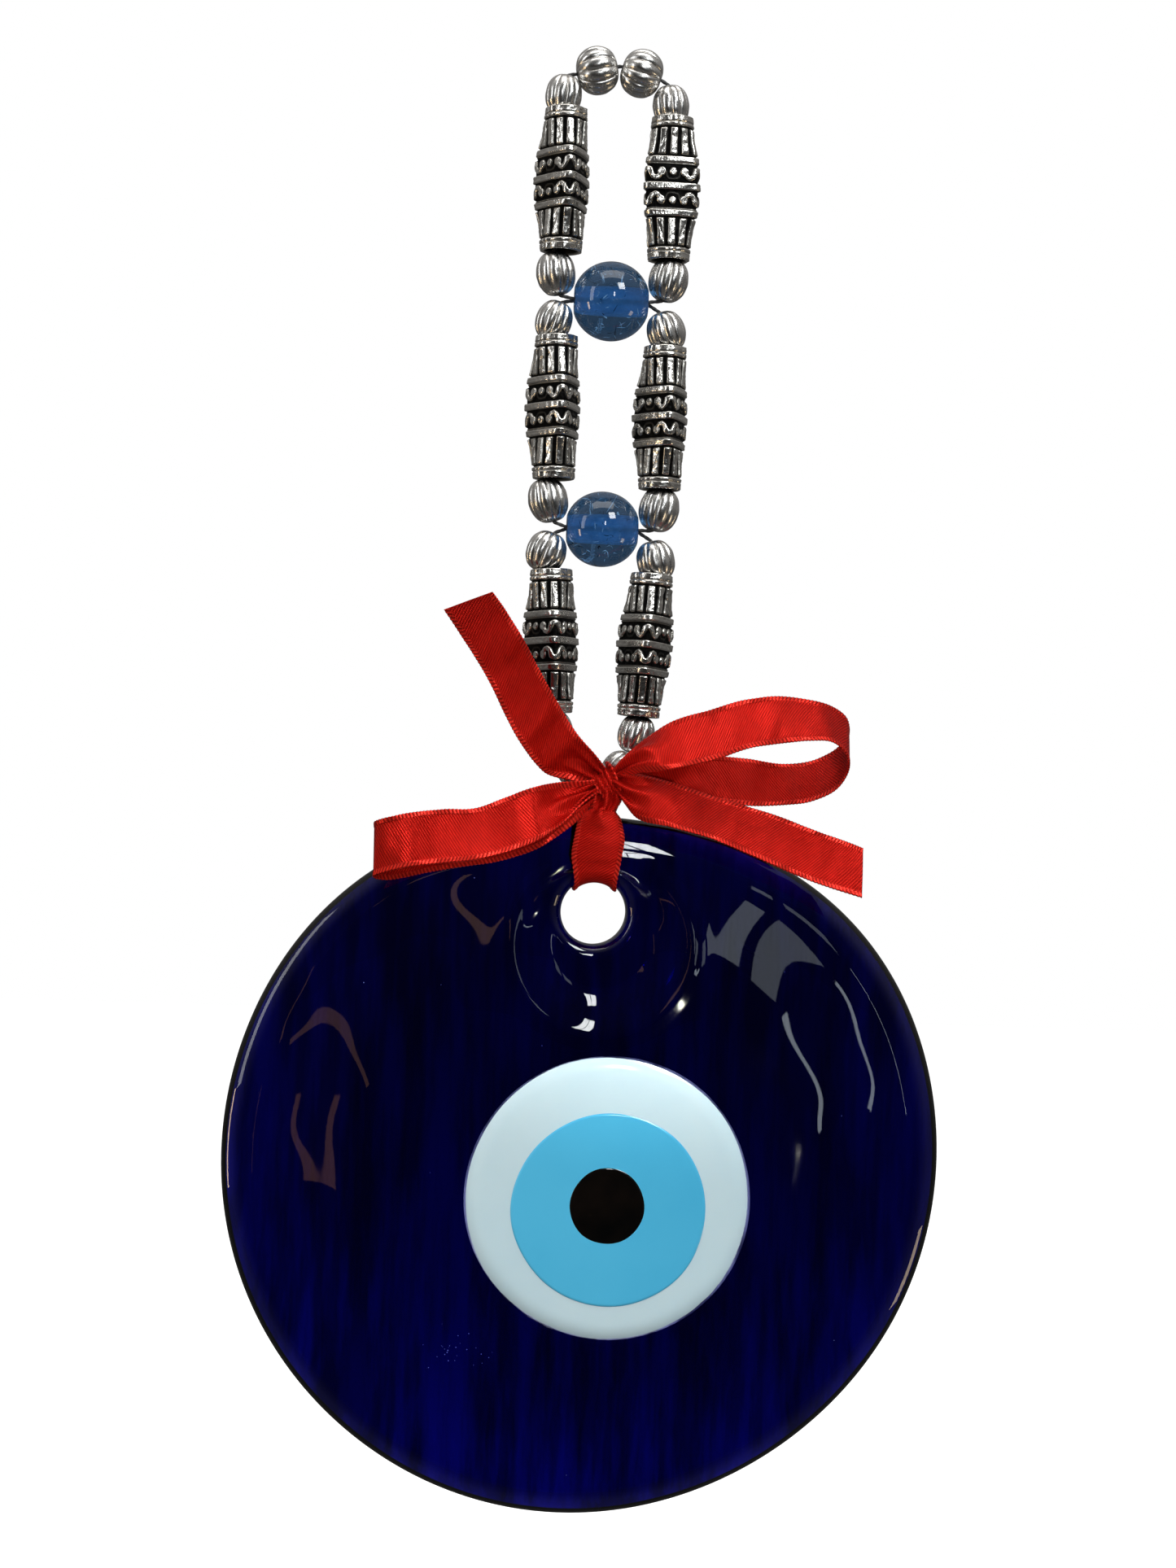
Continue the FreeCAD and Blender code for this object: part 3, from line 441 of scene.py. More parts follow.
def satin():
    """Red satin: fine slanted twill, smooth floats with a strong soft sheen, corded woven edges."""
    m = Mat("red_satin")
    uv = m.node("UVMap", uv_map="UVMap")
    sep = m.node("SeparateXYZ")
    m.link(uv.outputs[0], sep.inputs[0])
    u, v = sep.outputs[0], sep.outputs[1]          # both in millimetres: along, and across from one edge
    diag = m.math("ADD", u, m.math("MULTIPLY", v, 0.62))
    twill = m.math("SINE", m.math("MULTIPLY", diag, TWO_PI / 0.52))
    weft = m.math("SINE", m.math("MULTIPLY", u, TWO_PI / 0.20))
    co = m.coords("Object")
    slub = m.noise(co, 420, 4, 0.65)
    edge = m.node("Attribute", attribute_name="selvedge").outputs["Fac"]
    rib = m.node("Attribute", attribute_name="rib").outputs["Fac"]
    face = m.ramp(slub, [(0.25, (0.22, 0.002, 0.0015)), (0.75, (0.38, 0.004, 0.003))])
    # the twill crests are painted a brighter red: the weave's pattern carrying a painted sheen
    twill_painted_sheen = m.mix(m.math("MULTIPLY", m.math("ADD", m.math("MULTIPLY", twill, 0.5), 0.5), 0.6), face, (0.74, 0.020, 0.010))
    # the edge cords are painted dark between the ribs and bright on them: painted shade and painted highlight
    cord_painted_light_shade = m.mix(rib, (0.15, 0.0015, 0.0015), (0.76, 0.030, 0.018))
    m.link(m.mix(edge, twill_painted_sheen, cord_painted_light_shade), m.p.inputs["Base Color"])
    keep = m.math("SUBTRACT", 1.0, edge)
    h = m.math("MULTIPLY", m.math("ADD", m.math("MULTIPLY", twill, 0.6), m.math("MULTIPLY", weft, 0.35)), keep)
    n1 = m.bump(h, 0.60, 0.00009)
    n2 = m.bump(slub, 0.30, 0.00025, n1)
    m.link(n2, m.p.inputs["Normal"])
    m.set(Roughness=0.30, Metallic=0.60, Anisotropic=0.40, Specular_IOR_Level=0.5, Specular_Tint=(1.0, 0.25, 0.2, 1))
    return m.m


SATIN = satin()


def cobalt():
    """Thick cobalt glass: nearly black through its full depth, blue where it thins. Its colour carries painted light:
    vertical stripes of light seen through the glass, and a brighter blue glow towards the lower left and foot.
    """
    m = Mat("cobalt_glass")
    co = m.coords("Object", (1, 1, 0.12))
    # painted vertical stripes of light seen through the glass
    painted_stripes = m.noise(co, 260, 3, 0.6)
    wide = m.noise(m.coords("Object", (1, 1, 0.25)), 60, 2, 0.5)
    s = m.math("ADD", m.math("MULTIPLY", painted_stripes, 0.65), m.math("MULTIPLY", wide, 0.35))
    sep = m.node("SeparateXYZ")
    m.link(m.coords("Object"), sep.inputs[0])
    # low: a mask towards the lower left and foot, where a painted glow of light through the glass brightens the blue
    low = m.math("MULTIPLY", m.math("SUBTRACT", -0.196, m.math("ADD", sep.outputs[2], m.math("MULTIPLY", sep.outputs[0], 0.22))), 15.0, True)
    top = m.ramp(s, [(0.42, (0.06, 0.05, 0.13)), (0.60, (0.34, 0.30, 0.50))])
    painted_foot_glow = m.ramp(s, [(0.44, (0.08, 0.07, 0.20)), (0.58, (0.60, 0.50, 1.0))])
    m.link(m.mix(low, top, painted_foot_glow), m.p.inputs["Base Color"])
    m.set(Roughness=0.015, IOR=1.52, Transmission_Weight=1.0)
    ab = m.node("VolumeAbsorption")
    ab.inputs["Color"].default_value = (0.02, 0.03, 0.62, 1)
    ab.inputs["Density"].default_value = 900.0
    m.link(ab.outputs[0], m.out.inputs["Volume"])
    ripple = m.noise(m.coords("Object"), 26, 2, 0.4)
    m.link(m.bump(ripple, 0.18, 0.0012), m.p.inputs["Normal"])
    return m.m


COBALT = cobalt()


def poured(name, a, b, scale, rough, spots=None, sub=0.0):
    m = Mat(name)
    co = m.coords("Object")
    n = m.noise(co, scale, 4, 0.55)
    col = m.ramp(n, [(0.3, a), (0.7, b)])
    if spots:
        vor = m.node("TexVoronoi")
        vor.inputs["Scale"].default_value = 260
        m.link(co, vor.inputs["Vector"])
        dot = m.math("LESS_THAN", vor.outputs["Distance"], 0.055)
        col = m.mix(m.math("MULTIPLY", dot, 0.35), col, spots)
    m.link(col, m.p.inputs["Base Color"])
    m.set(Roughness=rough, IOR=1.5, Coat_Weight=0.6, Coat_Roughness=0.02)
    if sub:
        m.set(Subsurface_Weight=sub, Subsurface_Scale=0.002)
        m.p.inputs["Subsurface Radius"].default_value = (0.8, 0.9, 1.0)
    m.link(m.bump(m.noise(co, 30, 2, 0.4), 0.12, 0.0010), m.p.inputs["Normal"])
    return m.m


WHITE = poured("white_glass", (0.66, 0.87, 0.96), (0.72, 0.91, 0.98), 55, 0.14, sub=0.15)
LIGHT_BLUE = poured("light_blue_glass", (0.085, 0.54, 0.86), (0.105, 0.59, 0.91), 40, 0.14)
BLACK = poured("black_glass", (0.0015, 0.0015, 0.0015), (0.006, 0.004, 0.003), 160, 0.08, spots=(0.02, 0.014, 0.010))


# ------------------------------------------------------------------ the long cast beads

SEC = np.array(TUBE_SECTIONS)


def section_at(s, col):
    fine = np.linspace(-TUBE_HALF, TUBE_HALF, 400)
    y = np.interp(fine, SEC[:, 0], SEC[:, col])
    k = np.hanning(41)
    k /= k.sum()
    y = np.convolve(np.pad(y, 20, mode="edge"), k, mode="valid")
    return np.interp(s, fine, y)


def seg_distance(px, py, pts):
    best = np.full(px.shape, 1e9)
    for (x0, y0), (x1, y1) in zip(pts, pts[1:]):
        dx, dy = x1 - x0, y1 - y0
        t = np.clip(((px - x0) * dx + (py - y0) * dy) / (dx * dx + dy * dy), 0, 1)
        best = np.minimum(best, np.hypot(px - x0 - t * dx, py - y0 - t * dy))
    return best


SCROLL = [(2.55, -0.25), (2.95, -0.78), (3.55, -0.95), (4.10, -0.62), (4.45, 0.0), (4.80, 0.62), (5.35, 0.85), (5.90, 0.62), (6.1, 0.1)]
INNER = [(1.75, 0.55), (1.35, 0.05), (1.30, -0.55), (0.95, -1.0), (0.35, -1.12), (0.0, -1.13)]


def tube_relief(U, Uc, s, frac):
    """Raised height in mm over the bead: U from the nearest face's middle, Uc its value at the corner, s along, frac round."""
    a = np.abs(s)
    soft = 0.16
    up = lambda d, w: smooth01((w - d) / soft + 0.5)
    h = np.zeros_like(U)
    h = np.maximum(h, 0.50 * up(np.abs(a - 0.0), 0.62))
    h = np.maximum(h, 0.52 * up(np.abs(a - 4.95), 0.55))
    h = np.maximum(h, 0.24 * up(np.abs(a - 4.18), 0.12))
    v = a - 2.42
    band = (a > 0.8) & (a < 4.2)
    k = 5.26 / np.maximum(Uc, 1)
    u = np.abs(U) * k
    dot = up(np.hypot(u, (v - 0.25)), 0.70)
    head = up(np.hypot(u - 2.30, v - 0.22), 0.80)
    tail = up(seg_distance(u, v, SCROLL), 0.42)
    inner = up(seg_distance(u, v, INNER), 0.16) * 0.22
    far = up(seg_distance(2 * 5.26 - u, v, SCROLL), 0.42)
    h = np.maximum(h, band * 0.42 * np.maximum.reduce([dot, head, tail, inner, far]))
    flute = (a > 5.45) & (a < 11.2)
    ph = np.abs(((frac * 12 + 0.5) % 1.0) - 0.5) * 2.0
    bar = smooth01((0.60 - ph) / 0.20 + 0.5)
    run = smooth01((a - 5.75) / 0.35) * smooth01((11.0 - a) / 0.35)
    h = np.maximum(h, flute * 0.46 * bar * run)
    h = np.maximum(h, 0.46 * smooth01((a - 11.1) / 0.3) * (1 - 0.45 * up(np.abs(a - 12.0), 0.10)))
    return h


def tube_mesh(seed, nf=64, nc=15, step=0.125):
    rows = np.linspace(-TUBE_HALF, TUBE_HALF, int(2 * TUBE_HALF / step) + 1)
    flat, rho, bulge = (section_at(rows, c)[:, None] for c in (1, 2, 3))
    rho = rho - 0.34
    P, N, U, A = [], [], [], []
    circ = flat / math.sqrt(3)
    inr = flat / (2 * math.sqrt(3)) + rho
    for k in range(3):
        a = math.radians(120 * k)
        t = np.radians(np.linspace(-60, 60, nc + 2)[1:-1])[None, :]
        nx, ny = np.cos(a + t), np.sin(a + t)
        P.append(np.stack([circ * math.cos(a) + rho * nx, circ * math.sin(a) + rho * ny], -1))
        N.append(np.broadcast_to(np.stack([nx, ny], -1), P[-1].shape))
        U.append(flat / 2 + rho * (math.pi / 3 - np.abs(t)))
        f = math.radians(120 * k + 60)
        q = np.linspace(-1, 1, nf)[None, :]
        n = V(math.cos(f), math.sin(f))
        tt = V(-math.sin(f), math.cos(f))
        off = inr + bulge * (1 - q * q)
        P.append(off[..., None] * n + (flat / 2 * q)[..., None] * tt)
        slope = 4 * bulge * q / np.maximum(flat, 0.5)
        nn = n[None, None, :] + slope[..., None] * tt
        N.append(nn / np.linalg.norm(nn, axis=-1, keepdims=True))
        U.append(np.abs(flat / 2 * q) + 0 * flat)
    P, N, U = np.concatenate(P, 1), np.concatenate(N, 1), np.concatenate(U, 1)
    m = P.shape[1]
    shift = -(nc // 2)
    P, N, U = np.roll(P, shift, 1), np.roll(N, shift, 1), np.roll(U, shift, 1)
    q = np.arange(m) / m
    for r in range(len(rows)):
        ring = np.vstack([P[r], P[r, :1]])
        run = np.concatenate([[0], np.cumsum(np.linalg.norm(np.diff(ring, axis=0), axis=1))])
        run /= run[-1]
        fill = lambda a: np.interp(q, run, np.append(a, a[0]))
        P[r], N[r], U[r] = (np.stack([fill(P[r, :, 0]), fill(P[r, :, 1])], -1), np.stack([fill(N[r, :, 0]), fill(N[r, :, 1])], -1), fill(U[r]))
    N /= np.linalg.norm(N, axis=-1, keepdims=True)
    Uc = flat / 2 + rho * math.pi / 3 + 0 * U
    frac = q[None, :] + 0 * U
    s = rows[:, None] + 0 * U
    h = tube_relief(U, Uc, s, frac)
    x0, y0 = P[..., 0], P[..., 1]
    rough = 0.035 * wave_noise(x0, y0, s, 1.7, seed) + 0.02 * wave_noise(x0, y0, s, 0.6, seed + 5)
    Q = P + N * (h + rough)[..., None]
    pts = np.concatenate([Q, s[..., None]], -1)
    ang = np.arctan2(pts[0, :, 1], pts[0, :, 0])
    rel = h / 0.46

    def rings(sign):
        out, r = [], []
        for rr, zz, w in ((3.66, 13.30, 0.9), (3.42, 13.34, 0.8), (3.18, 13.18, 0.5), (3.02, 12.7, 0.12), (2.7, 12.1, 0.05), (2.1, 11.5, 0.0), (1.5, 11.1, 0.0), (1.35, 10.2, 0.0)):
            aa = np.arctan2(pts[-1 if sign > 0 else 0, :, 1], pts[-1 if sign > 0 else 0, :, 0])
            out.append(np.stack([rr * np.cos(aa), rr * np.sin(aa), np.full(aa.shape, sign * (zz - 13.2 + TUBE_HALF))], -1))
            r.append(np.full(aa.shape, w))
        return out, r

    top, rt = rings(1)
    bot, rb = rings(-1)
    allp = np.concatenate([pts, np.array(top), np.array(bot[::-1])], 0)
    allr = np.concatenate([rel, np.array(rt), np.array(rb[::-1])], 0)
    n, m = allp.shape[:2]
    return allp.reshape(-1, 3), grid_faces(n, m, True, True, flip=True), allr.ravel()


# ------------------------------------------------------------------ the fluted round beads

def melon_mesh(r, half, lobes, seed, na=200, nz=72):
    t = np.linspace(-1, 1, nz)
    ang = t * math.radians(84)
    pole = 1.05
    z = half * np.sin(ang) / math.sin(math.radians(84))
    rad = pole + (r - pole) * (np.cos(ang) ** 0.86 - math.cos(math.radians(84)) ** 0.86) / (1 - math.cos(math.radians(84)) ** 0.86)
    th = np.linspace(0, TWO_PI, na, endpoint=False)
    wob = 0.10 * np.sin(th * 2 + seed) / lobes * TWO_PI
    x = ((th + wob) * lobes / TWO_PI) % 1.0 * 2 - 1
    ridge = np.sqrt(np.clip(1 - (0.97 * x) ** 2, 0, 1))
    low = math.sqrt(1 - 0.97 ** 2)
    ridge = (ridge - low) / (1 - low)
    env = np.clip(np.cos(ang) * 1.25, 0, 1) ** 0.7
    depth = 0.115 * r * env[:, None] + 0.04
    R = rad[:, None] - depth * (1 - ridge[None, :])
    X, Y = R * np.cos(th), R * np.sin(th)
    Z = z[:, None] + 0 * X
    R2 = R + 0.03 * wave_noise(X, Y, Z, 2.4, seed)
    pts = np.stack([R2 * np.cos(th), R2 * np.sin(th), Z], -1)
    # relief is low in the grooves and at the poles, where the metal tone paints shade
    rel = np.clip(0.12 + 1.15 * ridge[None, :] ** 0.7 + 0 * R, 0, 1)
    cap = []
    capr = []
    for rr, zz in ((0.92, 1.0), (0.78, 0.9)):
        cap.append(np.stack([rr * np.cos(th), rr * np.sin(th), np.full(na, half * zz)], -1))
        capr.append(np.full(na, 0.1))
    bot = [c * V(1, 1, -1) for c in cap][::-1]
    allp = np.concatenate([pts, np.array(cap), np.array(bot)], 0)
    allr = np.concatenate([rel, np.array(capr), np.array(capr)], 0)
    n, m = allp.shape[:2]
    return allp.reshape(-1, 3), grid_faces(n, m, True, True, flip=True), allr.ravel()


# ------------------------------------------------------------------ the blue crackle-glass beads

def cross_mesh(r, half, na=120, nz=60):
    t = np.linspace(-1, 1, nz) * math.radians(72)
    k = half / math.sin(math.radians(72))
    z = k * np.sin(t)
    pole = 2.5
    rad = pole + (r - pole) * (np.cos(t) - math.cos(math.radians(72))) / (1 - math.cos(math.radians(72)))
    prof = list(zip(rad, z)) + [(2.05, half - 0.12), (1.87, half - 0.5)]
    n_out = len(prof)
    prof += [(1.85, half * f) for f in (0.75, 0.4, 0.0, -0.4, -0.75)]
    prof += [(1.87, -half + 0.5), (2.05, -half + 0.12)]
    prof = np.array(prof)
    th = np.linspace(0, TWO_PI, na, endpoint=False)
    R = prof[:, 0][:, None]
    pts = np.stack([R * np.cos(th), R * np.sin(th), prof[:, 1][:, None] + 0 * th], -1)
    n, m = pts.shape[:2]
    f = grid_faces(n, m, True, True, flip=True)
    idx = np.repeat(np.array([1 if n_out - 1 <= i < n - 2 else 0 for i in range(n)]), m)
    return pts.reshape(-1, 3), f, idx


def crackle(r, half, count, seed):
    """Closed slivers inside the glass: the tiny fractures, two in three glowing with a painted glint, the rest dark."""
    g = np.random.RandomState(seed)
    verts, faces, idx = [], [], []
    for k in range(count):
        while True:
            p = g.uniform(-1, 1, 3) * V(r, r, half)
            rho = math.hypot(p[0], p[1])
            shell = math.sqrt((rho / (r - 0.5)) ** 2 + (p[2] / (half - 0.2)) ** 2)
            if rho > 2.5 and shell < 0.97:
                break
        d = g.normal(size=3)
        d /= np.linalg.norm(d)
        e = np.cross(d, g.normal(size=3))
        e /= np.linalg.norm(e)
        w = np.cross(d, e)
        L, W = g.uniform(0.4, 1.9), g.uniform(0.05, 0.15)
        if k % 5 == 0:
            L, W = L * 0.6, W * 0.8
        bend = g.uniform(-0.25, 0.25)
        line = [p - d * L / 2, p - d * L / 6 + w * bend * L, p + d * L / 6 + w * bend * L, p + d * L / 2]
        b = len(verts)
        verts.append(line[0])
        for q in line[1:3]:
            verts += [q + e * W / 2, q + w * 0.025, q - e * W / 2, q - w * 0.025]
        verts.append(line[3])
        for j in range(4):
            n = (j + 1) % 4
            faces.append([b, b + 1 + n, b + 1 + j])
            faces.append([b + 1 + j, b + 1 + n, b + 5 + n, b + 5 + j])
            faces.append([b + 9, b + 5 + j, b + 5 + n])
        idx += [1 if k % 3 == 0 else 0] * 12
    return np.array(verts), faces, idx


def build_beads():
    seed = 0
    for name, kind, c, d, r, half in BEADS:
        seed += 1
        body = "turning_" + name
        if kind == "tube":
            v, f, rel = tube_mesh(seed)
            turn = math.radians(-30 + TUBE_FACE_ANGLE[name])
            make(name + "_cast", place(v, c, d, turn), f, [TUBE_METAL], body, (name,), {"relief": rel})
        elif kind == "round":
            v, f, rel = melon_mesh(r, half, 12 if r > 4 else 10, seed)
            make(name + "_fluted", place(v, c, d, 0.35 * seed), f, [MELON_METAL], body, (name,), {"relief": rel})
        else:
            v, f, idx = cross_mesh(r, half)
            ob = make(name + "_glass", place(v, c, d), f, [BEAD_GLASS, BEAD_BORE_PAINTED_GLOW], body, (name,), mat_index=idx)
            v, f, idx = crackle(r, half, 120, 40 + seed)
            make(name + "_crackle", place(v, c, d), f, [FLAKE_PAINTED_GLINT, FLAKE_DARK], body, (), mat_index=idx, smooth=False)


# ------------------------------------------------------------------ thread

BEAD = {row[0]: row[1:] for row in BEADS}


def strand(names, down=True, first_y=0.0, last_y=0.0):
    pts = []
    for n in names:
        kind, c, d, r, half = BEAD[n]
        reach = TUBE_HALF - 3.0 if kind == "tube" else half + 0.1
        pq = [V(c[0] - d[0] * reach, 0, c[1] - d[1] * reach), V(c[0] + d[0] * reach, 0, c[1] + d[1] * reach)]
        pts += pq if down else pq[::-1]
    pts[0] = pts[0] + V(0, first_y, 0)
    pts[-1] = pts[-1] + V(0, last_y, 0)
    return pts


def in_cross(name, side, y):
    kind, c, d, r, half = BEAD[name]
    return V(c[0] + side * 0.12, y, c[1]), V(c[0] + side * (half - 0.25), y, c[1])


def rounded_path(points, radius, step):
    out = [points[0]]

    def run(a, b):
        n = max(1, int(np.linalg.norm(b - a) / step))
        for i in range(1, n + 1):
            out.append(a + (b - a) * i / n)

    start = points[0]
    for a, p, b in zip(points, points[1:], points[2:]):
        u, w = a - p, b - p
        lu, lw = np.linalg.norm(u), np.linalg.norm(w)
        u, w = u / lu, w / lw
        turn = math.pi - math.acos(max(-1, min(1, float(u @ w))))
        if turn < math.radians(0.3):
            continue
        reach = min(radius * math.tan(turn / 2), 0.45 * min(lu, lw))
        rr = reach / math.tan(turn / 2)
        bis = (u + w) / np.linalg.norm(u + w)
        o = p + bis * rr / math.cos(turn / 2)
        p1, p2 = p + u * reach, p + w * reach
        run(start, p1)
        e1, e2 = (p1 - o) / rr, (p2 - o) / rr
        n = max(3, int(rr * turn / step))
        for i in range(1, n + 1):
            t = i / n
            out.append(o + rr * (e1 * math.sin((1 - t) * turn) + e2 * math.sin(t * turn)) / math.sin(turn))
        start = p2
    run(start, points[-1])
    return np.array(out)


def thread_mesh(points):
    """Two plies twisted together, swept along the path and closed at both ends."""
    path = rounded_path(points, THREAD_BEND, 0.22)
    t = np.gradient(path, axis=0)
    t /= np.linalg.norm(t, axis=1, keepdims=True)
    y = V(0, 1, 0)
    b = np.cross(t, y)
    b /= np.linalg.norm(b, axis=1, keepdims=True)
    n = np.cross(b, t)
    dist = np.concatenate([[0], np.cumsum(np.linalg.norm(np.diff(path, axis=0), axis=1))])
    m = 16
    a = np.linspace(0, TWO_PI, m, endpoint=False)
    ph = dist[:, None] * TWO_PI / 2.2
    rr = THREAD_R * (0.74 + 0.26 * np.abs(np.cos(a[None, :] - ph)))
    pts = path[:, None, :] + rr[..., None] * (np.cos(a)[None, :, None] * n[:, None, :] + np.sin(a)[None, :, None] * b[:, None, :])
    k = len(path)
    f = grid_faces(k, m, False, True).tolist()
    v = pts.reshape(-1, 3)
    v = np.concatenate([v, path[:1], path[-1:]], 0)
    for j in range(m):
        f.append([k * m, j, (j + 1) % m])
        f.append([k * m + 1, (k - 1) * m + (j + 1) % m, (k - 1) * m + j])
    return v, [q[::-1] for q in f], dist[-1]


def build_threads():
    A, O = THREAD_APART, BORE_OFF
    top = [*in_cross("cross_bead_upper", -1, -A)] + strand(["bead_upper_left_2", "tube_upper_left", "bead_upper_left_1", "bead_apex_left"], False, first_y=-O)
    top += [V(0, 0, 0)] + strand(["bead_apex_right", "bead_upper_right_1", "tube_upper_right", "bead_upper_right_2"], last_y=-O)
    top += [*in_cross("cross_bead_upper", 1, -A)][::-1]
    left = [*in_cross("cross_bead_upper", -1, A)] + strand(["bead_middle_left_1", "tube_middle_left", "bead_middle_left_2"], first_y=O, last_y=-O) + [*in_cross("cross_bead_lower", -1, -A)][::-1]
    right = [*in_cross("cross_bead_upper", 1, A)] + strand(["bead_middle_right_1", "tube_middle_right", "bead_middle_right_2"], first_y=O, last_y=-O) + [*in_cross("cross_bead_lower", 1, -A)][::-1]
    low = [*in_cross("cross_bead_lower", -1, A)] + strand(["bead_lower_left_1", "tube_lower_left", "bead_lower_left_2", "bead_lower_left_3"], first_y=O)
    low += [V(THREAD_LOW[0][0], 0, THREAD_LOW[0][1]), V(THREAD_LOW[1][0], 0, THREAD_LOW[1][1])]
    low += strand(["bead_lower_right_3", "bead_lower_right_2", "tube_lower_right", "bead_lower_right_1"], False, last_y=O) + [*in_cross("cross_bead_lower", 1, A)][::-1]
    for node, pts, body in (("thread_upper_link", top, "hanger_top"), ("thread_middle_link_left", left, "hanger_middle"),
                            ("thread_middle_link_right", right, "hanger_middle"), ("thread_lower_link", low, "hanger_bottom")):
        v, f, length = thread_mesh(pts)
        make(node + "_twisted", v, f, [THREAD_MAT], body, (node,))
        print(node, "length mm", round(length, 1))


# ------------------------------------------------------------------ ribbon

def catmull(p, t):
    """Points of a smooth curve through the rows of p at parameters t, 0 to len(p)-1."""
    n = len(p)
    i = np.clip(np.floor(t).astype(int), 0, n - 2)
    f = (t - i)[:, None]
    a, b, c, d = p[np.clip(i - 1, 0, n - 1)], p[i], p[i + 1], p[np.clip(i + 2, 0, n - 1)]
    return 0.5 * (2 * b + (c - a) * f + (2 * a - 5 * b + 4 * c - d) * f ** 2 + (3 * b - a - 3 * c + d) * f ** 3)


def across_columns():
    e, mid = ((10, 26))
    a = np.linspace(0, 1.05, e, endpoint=False)
    b = np.linspace(1.05, RIBBON_W - 1.05, mid, endpoint=False)
    c = np.linspace(RIBBON_W - 1.05, RIBBON_W, e)
    return np.concatenate([a, b, c])


def resample(T, B, step, extra=None):
    t = np.linspace(0, len(T) - 1, 1200)
    mid = (catmull(T, t) + catmull(B, t)) / 2
    s = np.concatenate([[0], np.cumsum(np.linalg.norm(np.diff(mid, axis=0), axis=1))])
    n = max(8, int(s[-1] / step))
    tt = np.interp(np.linspace(0, s[-1], n), s, t)
    out = [catmull(T, tt), catmull(B, tt)]
    if extra is not None:
        out.append(catmull(extra, tt))
    return out, s[-1]


def fold_rows(T, B, pleats, side, arch=None, ease=None):
    """Rows of points across the ribbon between its edges. Width the straight line lacks goes into pleats."""
    w = across_columns()
    q = w / RIBBON_W
    n = len(T)
    mid = (T + B) / 2
    along = np.gradient(mid, axis=0)
    along /= np.linalg.norm(along, axis=1, keepdims=True) + 1e-9
    ch = B - T
    c = np.linalg.norm(ch, axis=1)
    nor = np.cross(ch / (c[:, None] + 1e-9), along)
    nor /= np.linalg.norm(nor, axis=1, keepdims=True) + 1e-9
    nor *= side
    pl = np.asarray(pleats)[:, None]
    shape = (1 - pl) * np.sin(math.pi * q)[None, :] + pl * (0.42 * np.sin(5 * math.pi * q + 0.4)[None, :] - 0.42 * math.sin(0.4) + 0.55 * np.sin(math.pi * q)[None, :])
    lo, hi = np.zeros(n), np.full(n, 6.0)
    aim = np.full(n, RIBBON_W)
    if ease is not None:
        aim = RIBBON_W * (1 - ease) + (c + 0.03) * ease
    base = T[:, None, :] + ch[:, None, :] * q[None, :, None]
    if arch is not None:
        base = base + arch(q, T, B)
    for _ in range(22):
        a = (lo + hi) / 2
        P = base + nor[:, None, :] * (a[:, None] * shape)[..., None]
        L = np.linalg.norm(np.diff(P, axis=1), axis=2).sum(1)
        lo, hi = np.where(L < aim, a, lo), np.where(L < aim, hi, a)
    a = (lo + hi) / 2
    k = np.hanning(15 if n > 60 else 5)
    k /= k.sum()
    a = np.convolve(np.pad(a, len(k) // 2, mode="edge"), k, mode="valid")[:n]
    return base + nor[:, None, :] * (a[:, None] * shape)[..., None], w


def sheet_mesh(P, w, s0=0.0, half=0.10):
    """A thin closed cloth round the middle surface P, with a corded woven edge down each side."""
    n, m = P.shape[:2]
    du, dv = np.gradient(P, axis=0), np.gradient(P, axis=1)
    N = np.cross(du, dv)
    N /= np.linalg.norm(N, axis=2, keepdims=True) + 1e-9
    mid = P[:, m // 2]
    s = np.concatenate([[0], np.cumsum(np.linalg.norm(np.diff(mid, axis=0), axis=1))]) + s0
    edge = np.minimum(w, RIBBON_W - w)[None, :] + 0 * s[:, None]
    inside = smooth01((0.98 - edge) / 0.12)
    rib = 0.5 + 0.5 * np.sin(TWO_PI * (s[:, None] + 0.45 * edge) / 0.68)
    rib = rib ** 0.8
    lift = inside * (0.02 + 0.10 * rib) * smooth01(edge / 0.18 + 0.35)
    th = half + lift
    up, dn = P + N * th[..., None], P - N * th[..., None]
    wob = inside * 0 + (edge < 0.05) * 0.10 * (rib - 0.5)
    out = (P[:, -1] - P[:, 0])
    out /= np.linalg.norm(out, axis=1, keepdims=True) + 1e-9
    sgn = np.where(np.arange(m) < m // 2, -1, 1)[None, :]
    shift = (wob * sgn)[..., None] * out[:, None, :]
    up, dn = up + shift, dn + shift
    v = np.concatenate([up.reshape(-1, 3), dn.reshape(-1, 3)], 0)
    f = [grid_faces(n, m), grid_faces(n, m, flip=True, base=n * m)]
    o = n * m
    i = np.arange(n - 1)
    f.append(np.stack([i * m, o + i * m, o + (i + 1) * m, (i + 1) * m], -1)[:, ::-1])
    f.append(np.stack([i * m + m - 1, (i + 1) * m + m - 1, o + (i + 1) * m + m - 1, o + i * m + m - 1], -1)[:, ::-1])
    j = np.arange(m - 1)
    f.append(np.stack([j, j + 1, o + j + 1, o + j], -1)[:, ::-1])
    e = (n - 1) * m
    f.append(np.stack([e + j, o + e + j, o + e + j + 1, e + j + 1], -1)[:, ::-1])
    uv = np.stack([s[:, None] + 0 * w[None, :], w[None, :] + 0 * s[:, None]], -1).reshape(-1, 2)
    uv = np.concatenate([uv, uv], 0)
    at = {"selvedge": np.concatenate([inside.ravel()] * 2), "rib": np.concatenate([rib.ravel()] * 2)}
    return v, np.concatenate(f, 0), uv, at, s[-1] - s0


def station_edges(st):
    T, B = [], []
    for tx, tz, bx, bz, ym, tilt in st:
        chord = math.hypot(tx - bx, tz - bz)
        dy = math.sqrt(max(RIBBON_W ** 2 - chord ** 2, 0.0)) * tilt
        T.append((tx, ym - dy / 2, tz))
        B.append((bx, ym + dy / 2, bz))
    return np.array(T), np.array(B)


